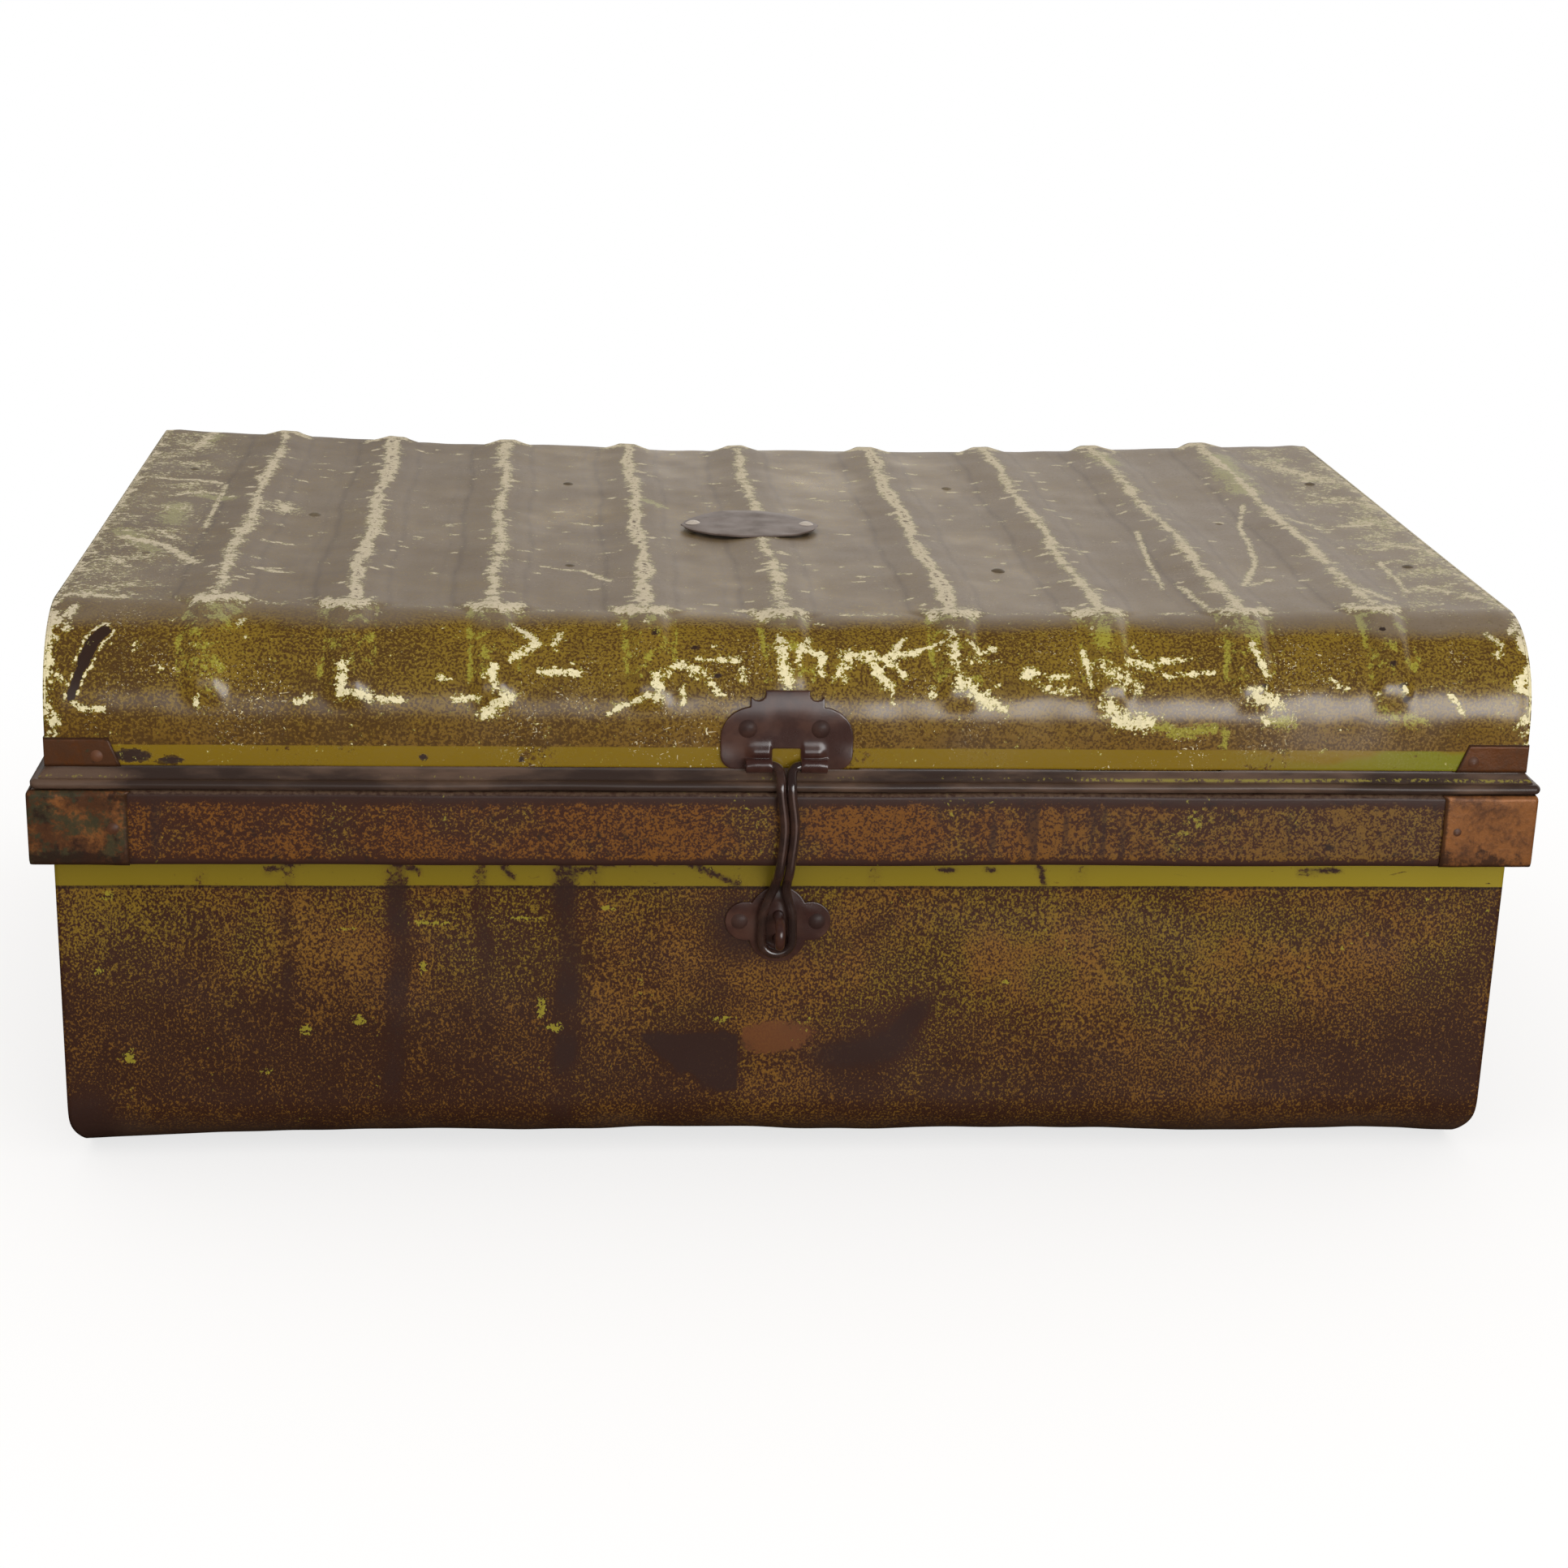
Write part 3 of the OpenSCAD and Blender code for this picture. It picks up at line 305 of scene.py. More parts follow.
def lidPaint():
    f = Finish("lidPaint")
    p = f.place()
    x, y, z = f.parts(p)
    wear, stain, fold, rub = (f.painted(word) for word in ("wear", "stain", "fold", "rub"))
    fine = f.grain(p, 1.15, 2, 0.6)
    broad = f.grain(p, 46, 4, 0.6)
    crumbs = f.grain(p, 2.6, 5, 0.65, 0.5)
    flakes = f.grain(p, 1.0, 3, 0.6)
    fibres = f.grain(f.place((0.3, 1.3, 1)), 1.3, 3, 0.6)
    roof = f.ramp(z + (broad - 0.5) * 6, 245.5, 251)
    # speckled paint, browner towards the foot and thinner where it has been rubbed
    cover = 0.53 + (broad - 0.5) * 0.3 - rub * 0.07 - f.ramp(x, -330, -20) * 0.035
    mottle = f.ramp(fine, cover - 0.1, cover + 0.1)
    foot = 1 - f.ramp(z, 198, 230)
    olive = f.mix(paint["olive"], paint["oliveBrown"], foot * 0.75)
    base = f.mix(paint["oliveDeep"], olive, mottle)
    base = f.mix(base, paint["oliveDeep"], f.ramp(f.grain(p, 18, 4, 0.6), 0.5, 0.75) * 0.45)
    # painted stripe above the rim
    wander = (f.grain(p, 25, 3) - 0.5) * 0.7
    lowerHalf = f.ramp(f.grain(p, 60, 2) + z * 0.02 - 3.9, 0.5, 0.6)
    yellow = f.mix(paint["stripe"], paint["stripeGreen"], (1 - lowerHalf) * f.ramp(x, 180, 300))
    onStripe = f.span(z + wander, *stripes["lid"], stripes["soft"])
    breaks = f.ramp(crumbs + f.ramp(broad, 0.48, 0.7) * 0.22, 0.69, 0.77)
    base = f.mix(base, yellow, onStripe * (1 - breaks))
    # dust and dirt; on the roof the dust share also paints the sheen, lighter to the right and darker
    # at the back left
    haze = f.grain(f.place((0.3, 1, 1)), 30, 4, 0.6)
    sheenToRight = f.ramp(x, -340, 60)
    dustAndSheen = 0.4 + sheenToRight * 0.22 + f.ramp(haze, 0.3, 0.75) * 0.32
    dustAndSheen = dustAndSheen - f.ramp(y, 60, 220) * (1 - sheenToRight) * 0.14
    base = f.mix(base, paint["dust"], roof * dustAndSheen)
    smudge = f.ramp(fine + (crumbs - 0.5) * 0.6, 0.5, 0.75)
    base = f.mix(base, colour(70, 54, 34), roof * smudge * 0.4)
    # painted shade in the folds beside the ribs
    base = f.mix(base, colour(74, 57, 42), fold * 0.5)
    low = 1 - f.ramp(z + wander, stripes["lid"][0] - 1.4, stripes["lid"][0] + 0.4)
    base = f.mix(base, paint["dark"], low * 0.8)
    spots = f.ramp(f.grain(p, 5.5, 4, 0.7) + stain * 0.5, 0.78, 0.84)
    dents = f.ramp(stain + (flakes - 0.5) * 0.5, 0.6, 0.7)
    base = f.mix(base, paint["oliveTorn"], f.most(spots * 0.8, dents))
    # worn paint: a green edge, cream inside it and bare sheet in the middle
    blots = f.grain(p, 5.5, 3, 0.6, 0.8)
    ragged = (crumbs - 0.5) * 1.8 + (flakes - 0.5) * 1.3 + (fibres - 0.5) * 0.7 + (blots - 0.5) * 1.2
    tear = wear + ragged
    patches = f.ramp(f.grain(p, 34, 3), 0.54, 0.66)
    lines = scratches(f, (12, 55, -48, 84), 0.9, 13, 0.71) * patches
    thin = f.most(f.ramp(tear, 0.42, 0.5), f.ramp(rub + ragged * 0.8, 0.5, 0.6))
    chip = f.most(f.ramp(tear, 0.57, 0.63), lines)
    bare = f.ramp(tear, 1.3, 1.38)
    green = f.mix(paint["green"], paint["greenRoof"], roof)
    base = f.mix(base, green, thin * (0.4 + mottle * 0.45))
    pale = f.mix(paint["cream"], paint["chalk"], f.ramp(z, 236, 252))
    base = f.mix(base, pale, chip * (0.9 + (fine - 0.5) * 0.8))
    base = f.mix(base, colour(84, 68, 54), bare * 0.8)
    torn = f.ramp(stain, 0.5, 0.7)
    rough = 0.23 + (broad - 0.5) * 0.12 + chip * 0.3 + mottle * 0.04 + roof * 0.2 + torn * 0.12
    return f.surface(base, rough, 0.0, 0.8, f.bump(fine * 0.3 - chip, 0.3, 0.16))


def tubPaint():
    f = Finish("tubPaint")
    p = f.place()
    x, _, z = f.parts(p)
    wear, stain, warm, dark = (f.painted(word) for word in ("wear", "stain", "warm", "dark"))
    fine = f.grain(f.place((1, 1, 0.8)), 1.0, 3, 0.62)
    broad = f.grain(p, 42, 4, 0.6)
    crumbs = f.grain(p, 2.4, 5, 0.68, 0.4)
    foot = 1 - f.ramp(z + (broad - 0.5) * 30, 2, 22)
    cover = 0.495 + (broad - 0.5) * 0.26 + dark * 0.085 + f.least(stain, 0.8) * 0.1
    mottle = f.ramp(fine + (crumbs - 0.5) * 0.3, cover - 0.08, cover + 0.08)
    deep = f.mix(*paint["tub"], f.ramp(f.grain(p, 60, 3), 0.35, 0.65))
    speck = f.mix(*paint["tubSpeck"], f.most(warm, f.ramp(broad, 0.38, 0.6)))
    shade = f.ramp(dark, 0.4, 1.0)
    deep = f.mix(deep, paint["tubDark"][0], shade)
    speck = f.mix(speck, paint["tubDark"][1], shade)
    base = f.mix(deep, speck, mottle)
    base = f.mix(base, colour(46, 28, 20), f.ramp(crumbs, 0.56, 0.66) * 0.5)
    # painted stripe below the collar
    wander = (f.grain(p, 30, 3) - 0.5) * 0.6
    onStripe = f.span(z + wander, *stripes["tub"], stripes["soft"])
    cracks = f.ramp(f.grain(f.place((0.3, 1, 1)), 5, 5, 0.7, 1.2), 0.66, 0.7)
    breaks = f.most(f.ramp(crumbs + stain * 0.35, 0.65, 0.76), cracks)
    yellow = f.mix(*paint["tubStripe"], f.ramp(x, -100, 320))
    base = f.mix(base, yellow, onStripe * (1 - breaks) * (1 - f.least(stain, 1.0) * 0.45))
    line = f.span(z + wander * 0.5, stripes["tub"][0] - 1.4, stripes["tub"][0], 0.3)
    base = f.mix(base, paint["dark"], line * 0.6)
    # drips, smears and dirt
    base = f.mix(base, colour(66, 50, 41), foot * 0.8)
    wet = f.ramp(stain + (crumbs - 0.5) * 0.8 + (fine - 0.5) * 0.6, 0.3, 0.9)
    base = f.mix(base, paint["tubWet"], wet * 0.85)
    burnt = f.ramp(f.painted("rust") + (crumbs - 0.5) * 1.1, 0.4, 0.66)
    embers = f.ramp(broad + (fine - 0.5) * 0.6, 0.4, 0.62)
    base = f.mix(base, f.mix(*paint["tubRust"], embers), burnt * 0.9)
    # chips down to the yellow
    tear = wear + (crumbs - 0.5) * 1.3 + (fine - 0.5) * 0.6
    chip = f.ramp(tear, 0.56, 0.62)
    base = f.mix(base, paint["tubChip"], chip * 0.85)
    rough = 0.5 + (broad - 0.5) * 0.2
    return f.surface(base, rough, 0.0, 0.22, f.bump(fine * 0.4 - chip * 0.6, 0.3, 0.15))


def bandPaint():
    f = Finish("collarPaint")
    p = f.place()
    x, _, z = f.parts(p)
    fine = f.grain(p, 1.1, 3, 0.62)
    broad = f.grain(p, 38, 4, 0.6)
    crumbs = f.grain(p, 2.6, 5, 0.68, 0.5)
    wander = (f.grain(p, 9, 4, 0.6) - 0.5) * 7
    edge = f.most(f.ramp(z + wander, 172.5, 178.0), 1 - f.ramp(z + wander * 0.5, 147, 150))
    cover = 0.5 + (broad - 0.5) * 0.35 + edge * 0.25 + (1 - f.ramp(x, -300, 60)) * 0.05
    mottle = f.ramp(fine + (crumbs - 0.5) * 0.5, cover - 0.06, cover + 0.06)
    speck = f.mix(*paint["bandSpeck"], f.ramp(broad, 0.5, 0.65))
    speck = f.mix(speck, paint["bandRight"], f.ramp(x, 20, 300) * 0.6)
    base = f.mix(paint["band"], speck, mottle)
    base = f.mix(base, colour(42, 27, 23), f.ramp(f.grain(p, 7, 5, 0.7), 0.57, 0.7) * 0.85)
    drip = f.ramp(f.grain(f.place((1, 1, 0.12)), 11, 3), 0.6, 0.7)
    base = f.mix(base, colour(50, 32, 27), f.most(drip * 0.7, edge * 0.7))
    chips = f.ramp(crumbs + (broad - 0.5) * 0.7, 0.71, 0.76)
    base = f.mix(base, colour(136, 128, 40), chips * 0.8)
    # lighter along the top of the collar: some wear, and a painted highlight on the top edge
    wornAndHighlit = f.ramp(z + (fine - 0.5) * 2, 178.2, 179.2) * f.ramp(crumbs, 0.3, 0.6)
    base = f.mix(base, colour(104, 84, 66), wornAndHighlit * 0.6)
    rough = 0.38 + (broad - 0.5) * 0.2
    return f.surface(base, rough, 0.0, 0.35, f.bump(fine, 0.25, 0.15))


def rimPaint():
    f = Finish("rimPaint")
    p = f.place()
    x, _, z = f.parts(p)
    broad = f.grain(f.place((0.3, 1, 1)), 16, 4, 0.6)
    fine = f.grain(p, 1.6, 4, 0.65)
    tone = f.mix(colour(52, 38, 32), colour(90, 69, 55), f.ramp(broad, 0.4, 0.7))
    # flecks of the stripe's yellow are left along the flare, most to the right
    flare = f.span(z + (broad - 0.5) * 2, 185.4, 186.6, 0.4)
    left = 0.66 - f.ramp(x, -100, 260) * 0.17
    flecks = f.ramp(fine + (broad - 0.5) * 0.5, left, left + 0.06) * flare
    tone = f.mix(tone, colour(132, 122, 40), flecks * 0.8)
    tone = f.mix(tone, colour(92, 74, 62), f.ramp(fine + (broad - 0.5) * 0.4, 0.66, 0.78) * 0.5)
    return f.surface(tone, 0.4 + (broad - 0.5) * 0.25, 0.0, 0.42, f.bump(fine, 0.2, 0.1), 0.12, 0.18)


def ironFinish(name, base, warm, rough, gloss=0.5, coat=0.0):
    f = Finish(name)
    p = f.place()
    broad = f.grain(p, 14, 4, 0.6)
    fine = f.grain(p, 1.6, 4, 0.65)
    tone = f.mix(base, warm, f.ramp(broad, 0.4, 0.7))
    tone = f.mix(tone, colour(96, 78, 66), f.ramp(fine + (broad - 0.5) * 0.4, 0.7, 0.82) * 0.4)
    return f.surface(tone, rough + (broad - 0.5) * 0.25, 0.0, gloss, f.bump(fine, 0.2, 0.1),
                     coat, 0.18)


def wireFinish():    # dark japan, with a painted highlight along the front of the wire
    f = Finish("haspWire")
    p = f.place()
    z = f.parts(p)[2]
    broad = f.grain(p, 12, 4, 0.6)
    fine = f.grain(p, 1.6, 4, 0.65)
    tone = f.mix(colour(40, 28, 26), colour(60, 40, 33), f.ramp(broad, 0.4, 0.7))
    # painted highlight: a light line on the front of the wire, between heights 128 and 172
    paintedHighlight = f.ramp(f.painted("wear"), 0.88, 1.0) * f.ramp(z + (broad - 0.5) * 30, 128, 172)
    tone = f.mix(tone, colour(138, 118, 114), paintedHighlight * 0.7)
    return f.surface(tone, 0.22 + (broad - 0.5) * 0.2, 0.0, 0.6, f.bump(fine, 0.15, 0.1), 0.9, 0.12)


def copperFinish(name, patina, bright):
    f = Finish(name)
    p = f.place()
    x, _, z = f.parts(p)
    broad = f.grain(p, 14, 4, 0.6)
    fine = f.grain(p, 1.8, 5, 0.65)
    left = 1 - f.ramp(x, -200, 200)
    dull = f.ramp(broad + (fine - 0.5) * 0.4 + left * 0.12, 0.4, 0.72)
    tone = f.mix(bright, paint["copperDull"], dull)
    low = 1 - f.ramp(z + (broad - 0.5) * 12, 148, 156)
    green = f.ramp(f.grain(p, 9, 4, 0.6) + (fine - 0.5) * 0.4 + left * patina, 0.6, 0.74)
    tone = f.mix(tone, paint["verdigris"], green * (0.2 + left * 0.5))
    dirt = f.ramp(f.grain(p, 10, 5, 0.7) + left * patina * 0.5 + low * 0.2, 0.58, 0.74)
    tone = f.mix(tone, colour(46, 30, 24), dirt * 0.85)
    edge = f.ramp(f.painted("edge") + (fine - 0.5) * 0.8, 0.3, 0.7)
    tone = f.mix(tone, colour(58, 36, 22), edge * 0.75)
    return f.surface(tone, 0.36 + (broad - 0.5) * 0.2, 0.25, 0.3, f.bump(fine * 0.5 + broad, 0.5, 0.5))


def insideTin():
    f = Finish("insideTin")
    p = f.place()
    broad = f.grain(p, 60, 5, 0.6)
    fine = f.grain(p, 2.5, 5, 0.65)
    dull = f.ramp(broad + (fine - 0.5) * 0.4, 0.42, 0.7)
    tone = f.mix(colour(96, 88, 78), colour(74, 56, 42), dull)
    tone = f.mix(tone, colour(84, 46, 26), f.ramp(f.grain(p, 14, 5, 0.7), 0.6, 0.72) * 0.8)
    return f.surface(tone, 0.5 + (broad - 0.5) * 0.2, 0.5, 0.4, f.bump(fine, 0.2, 0.15))


finishes = {
    "lid": lidPaint(),
    "tub": tubPaint(),
    "band": bandPaint(),
    "rim": rimPaint(),
    "lock": ironFinish("lockJapan", paint["iron"], paint["ironWarm"], 0.3, 0.5, 0.7),
    "hasp": wireFinish(),
    "lockRivet": ironFinish("lockRivet", colour(50, 31, 27), colour(66, 42, 34), 0.55, 0.3, 0.1),
    "cornerRivet": ironFinish("cornerRivet", colour(74, 44, 27), colour(98, 60, 36), 0.45, 0.4),
    "handle": ironFinish("handleIron", colour(46, 36, 30), colour(80, 52, 38), 0.5, 0.4),
    "plate": ironFinish("barePlate", colour(104, 92, 86), colour(88, 75, 68), 0.42),
    "collarCopper": copperFinish("collarCopper", 0.16, paint["copper"]),
    "lidCopper": copperFinish("lidCopper", 0.02, paint["copperBrown"]),
    "inside": insideTin(),
    "roofRivet": ironFinish("roofRivet", colour(88, 76, 58), colour(110, 98, 76), 0.5),
    "rubbed": ironFinish("rubbedRivet", colour(176, 168, 158), colour(122, 108, 96), 0.3),
}
print("finishes made")


# Lid

lid = {
    "half": (330.0, 228.5),    # half length and half depth of the shell
    "foot": 189.25,            # where the wall meets the flared rim
    "top": 254.0,
    "edge": 44.0,              # radius of the front and back edges
    "sheet": 0.8,
    "ribs": [-261, -200, -137, -68, -6, 70, 138, 202, 266],
    "ribHalf": (24.0, 11.5),   # half width on the roof and on the rounded edges
    "ribHeight": 2.9,
    "ribEnd": 17.0,            # angle above level at which a rib runs out
    "ribEndLock": 29.0,        # the same for the rib above the lock
    "sag": (4.2, 5.4),         # how far the roof has sunk midway, at the front and the back
    "lift": (0.8, 2.0),        # how far its ends stand up, at the front and the back
    "dent": 0.5,
    "shift": 1.3,              # the lid sits this far to the right on the tub
    "spacing": (1.6, 1.3, 1.8),    # of the mesh's points on the wall, the edge and the flat
    "columns": 480,
}

# The lock stands before the lid's code because the rib above it stops sooner
lock = {
    "x": -7.0,
    "reach": 20.0,    # a rib within this distance of the lock is the one above it
    "wire": 2.25,
    "sides": 20,
    "plateVoxel": 0.3,
}


def roofDrop(x, y):    # how far the roof has sunk at a place, less than nothing at its ends
    back = step(y, -150, 200)
    share = np.clip(np.abs(x) / lid["half"][0], 0, 1)
    sag = lid["sag"][0] + (lid["sag"][1] - lid["sag"][0]) * back
    lift = lid["lift"][0] + (lid["lift"][1] - lid["lift"][0]) * back
    return sag * np.cos(share * math.pi / 2) ** 1.2 - lift * share ** 3


def ribShape(x, run, edgeRun, total):
    inward = np.minimum(run, total - run)    # distance from the nearer foot
    onRoof = step(inward, edgeRun[1] - 8, edgeRun[1] + 6)
    half = lid["ribHalf"][1] + (lid["ribHalf"][0] - lid["ribHalf"][1]) * onRoof
    height = np.zeros(np.broadcast(x, run).shape)
    for place in lid["ribs"]:
        end = lid["ribEndLock"] if abs(place - lock["x"]) < lock["reach"] else lid["ribEnd"]
        start = edgeRun[0] + lid["edge"] * math.radians(end)
        rise = step(inward, start - 8, start + 8)
        off = np.abs(x - place) / half
        arch = np.clip(1 - off, 0, 1)
        crown = 0.7 * np.cos(np.clip(off, 0, 1) * math.pi / 2) ** 2 + 0.3 * arch ** 1.5
        flatCrown = step(arch, 0, 0.7)
        height += np.where(off < 1, onRoof * crown + (1 - onRoof) * flatCrown, 0) * rise
    return height * lid["ribHeight"]


# Bare marks on the front of the lid: width, strength, then places (x, distance up from the foot)
frontScrapes = [
    (2.2, 0.90, (-202, 47), (-202, 35), (-190, 33)),
    (1.2, 0.90, (-187, 32), (-175, 31)),
    (1.7, 0.80, (-222, 30), (-214, 32)),
    (1.4, 0.80, (-291, 53), (-290, 56)),
    (1.3, 0.80, (-265, 27), (-264, 31)),
    (1.3, 0.80, (-248, 69), (-246, 72)),
    (1.0, 0.90, (-318, 30), (-314, 26), (-304, 26)),
    (1.0, 0.80, (-321, 38), (-327, 42)),
    (1.3, 0.80, (-326, 64), (-319, 80), (-322, 62)),
    (1.5, 0.80, (-153, 32), (-143, 33)),
    (3.4, 0.85, (-140, 26), (-131, 33)),
    (1.6, 0.80, (-136, 37), (-137, 48)),
    (1.9, 0.75, (-127, 72), (-117, 61), (-129, 53)),
    (1.5, 0.90, (-115, 46), (-100, 46)),
    (1.6, 0.70, (-109, 62), (-107, 68)),
    (2.6, 0.85, (-65, 44), (-64, 34)),
    (1.1, 0.90, (-68, 35), (-86, 26)),
    (1.3, 0.80, (-53, 40), (-53, 31)),
    (2.4, 0.72, (-60, 46), (-53, 52), (-47, 46)),
    (1.5, 0.75, (-47, 53), (-28, 54)),
    (2.2, 0.66, (-44, 46), (-37, 36)),
    (1.6, 0.70, (-28, 50), (-26, 42)),
    (2.4, 0.90, (-10, 64), (-7, 41)),
    (1.8, 0.85, (-3, 53), (3, 65)),
    (1.7, 0.85, (3, 58), (9, 57), (8, 46)),
    (3.2, 0.75, (16, 47), (20, 56), (30, 57)),
    (2.6, 0.85, (29, 56), (39, 38)),
    (1.6, 0.90, (31, 54), (51, 58)),
    (1.4, 0.90, (40, 57), (46, 67)),
    (1.8, 0.80, (38, 53), (46, 45)),
    (0.9, 0.90, (42, 56), (63, 64)),
    (1.6, 0.80, (57, 35), (58, 38)),
    (2.6, 0.66, (68, 70), (67, 60), (70, 45)),
    (3.4, 0.85, (71, 41), (78, 36), (88, 30)),
    (1.3, 0.80, (74, 64), (80, 58), (86, 61)),
    (1.5, 0.62, (76, 53), (88, 53)),
    (2.8, 0.90, (100, 47), (104, 47)),
    (1.2, 0.80, (111, 45), (121, 46)),
    (2.6, 0.62, (109, 40), (120, 38)),
    (1.0, 0.95, (126, 59), (129, 40)),
    (4.6, 0.60, (136, 47), (150, 40)),
    (1.9, 0.85, (146, 54), (157, 50)),
    (1.2, 0.80, (149, 63), (152, 54)),
    (3.6, 0.88, (136, 31), (143, 24), (156, 23)),
    (1.6, 0.80, (161, 53), (176, 54)),
    (1.4, 0.70, (162, 46), (185, 47)),
    (1.6, 0.85, (203, 60), (205, 54), (208, 46)),
    (4.0, 0.85, (203, 36), (213, 32)),
    (1.6, 0.80, (207, 26), (209, 22)),
    (1.8, 0.62, (236, 43), (245, 40)),
    (1.0, 0.90, (292, 36), (298, 28)),
    (1.6, 0.75, (312, 66), (318, 60), (315, 54)),
]
# The same on the roof, with places (x, y)
roofScrapes = [
    (2.0, 0.94, (-318, 62), (-300, 60), (-285, 55)),
    (1.2, 0.84, (-281, 50), (-281, -45)),
    (3.0, 0.80, (-302, 195), (-308, 140)),
    (3.0, 0.84, (-325, 205), (-308, 204)),
    (3.2, 0.94, (-316, -72), (-295, -85), (-278, -118)),
    (2.6, 0.80, (-302, -55), (-292, -72)),
    (1.6, 0.84, (-318, -110), (-306, -128)),
    (6.0, 0.80, (-247, 8), (-247, -4)),
    (1.5, 0.84, (-250, -70), (-236, -72)),
    (1.5, 0.84, (-248, -128), (-232, -132)),
    (1.4, 0.84, (-99, -6), (-87, -12)),
    (1.5, 0.84, (-116, -106), (-100, -112)),
    (1.5, 0.84, (-96, -112), (-84, -134)),
    (1.4, 0.84, (256, 32), (243, -15), (239, -55), (233, -92), (216, -138)),
    (1.2, 0.84, (187, -25), (180, -92), (177, -140)),
    (1.4, 0.84, (186, -138), (187, -160), (190, -184)),
    (1.4, 0.84, (220, -136), (233, -124)),
    (3.0, 0.80, (262, 2), (285, -14)),
    (9.0, 0.72, (295, 140), (320, 90)),
    (2.2, 0.89, (298, -12), (310, -13)),
    (1.5, 0.84, (282, -20), (291, -18)),
    (3.5, 0.80, (308, -55), (322, -68)),
    (1.4, 0.84, (295, -92), (293, -150)),
    (4.0, 0.76, (305, -140), (322, -165)),
    (4.0, 0.80, (262, -140), (276, -168)),
    (3.0, 0.85, (-327, -183), (-300, -182)),
    (2.0, 0.80, (-306, 20), (-292, 34), (-284, 30)),
    (1.6, 0.84, (300, 60), (326, 30)),
    (2.4, 0.80, (196, 176), (208, 168)),
]
# Where the speckle has been rubbed off the green-yellow coat under it, in the same way
frontRubs = [
    (5.0, 0.80, (-260, 80), (-255, 70)),
    (7.0, 0.50, (-262, 60), (-258, 36)),
    (2.6, 0.95, (156, 22), (170, 18), (184, 20)),
    (4.0, 0.80, (212, 24), (220, 23)),
    (4.0, 0.66, (262, 28), (280, 24)),
    (2.0, 0.80, (190, 12), (190, 20)),
    (6.0, 0.70, (203, 80), (205, 66)),
    (6.0, 0.70, (136, 74), (136, 62)),
]
roofRubs = [
    (9.0, 0.95, (268, 150), (264, 60)),
    (7.0, 0.90, (202, 172), (204, 138)),
    (8.0, 0.90, (-300, 0), (-298, -36)),
    (6.0, 0.90, (-290, 26), (-278, 18)),
    (5.0, 0.88, (-300, 180), (-306, 150)),
    (8.0, 0.85, (-318, -60), (-300, -96)),
    (4.0, 0.88, (-66, 40), (-54, 28)),
]


def mark(field, x, v, marks, lift=0.0):    # strokes laid into a field where they are stronger
    for width, strength, *points in marks:
        points = [(a, b + lift) for a, b in points]
        soft = 2.1 * width + 0.4    # a stroke fades towards its sides
        field = np.maximum(field, stroke(x, v, points, soft) * strength)
    return field


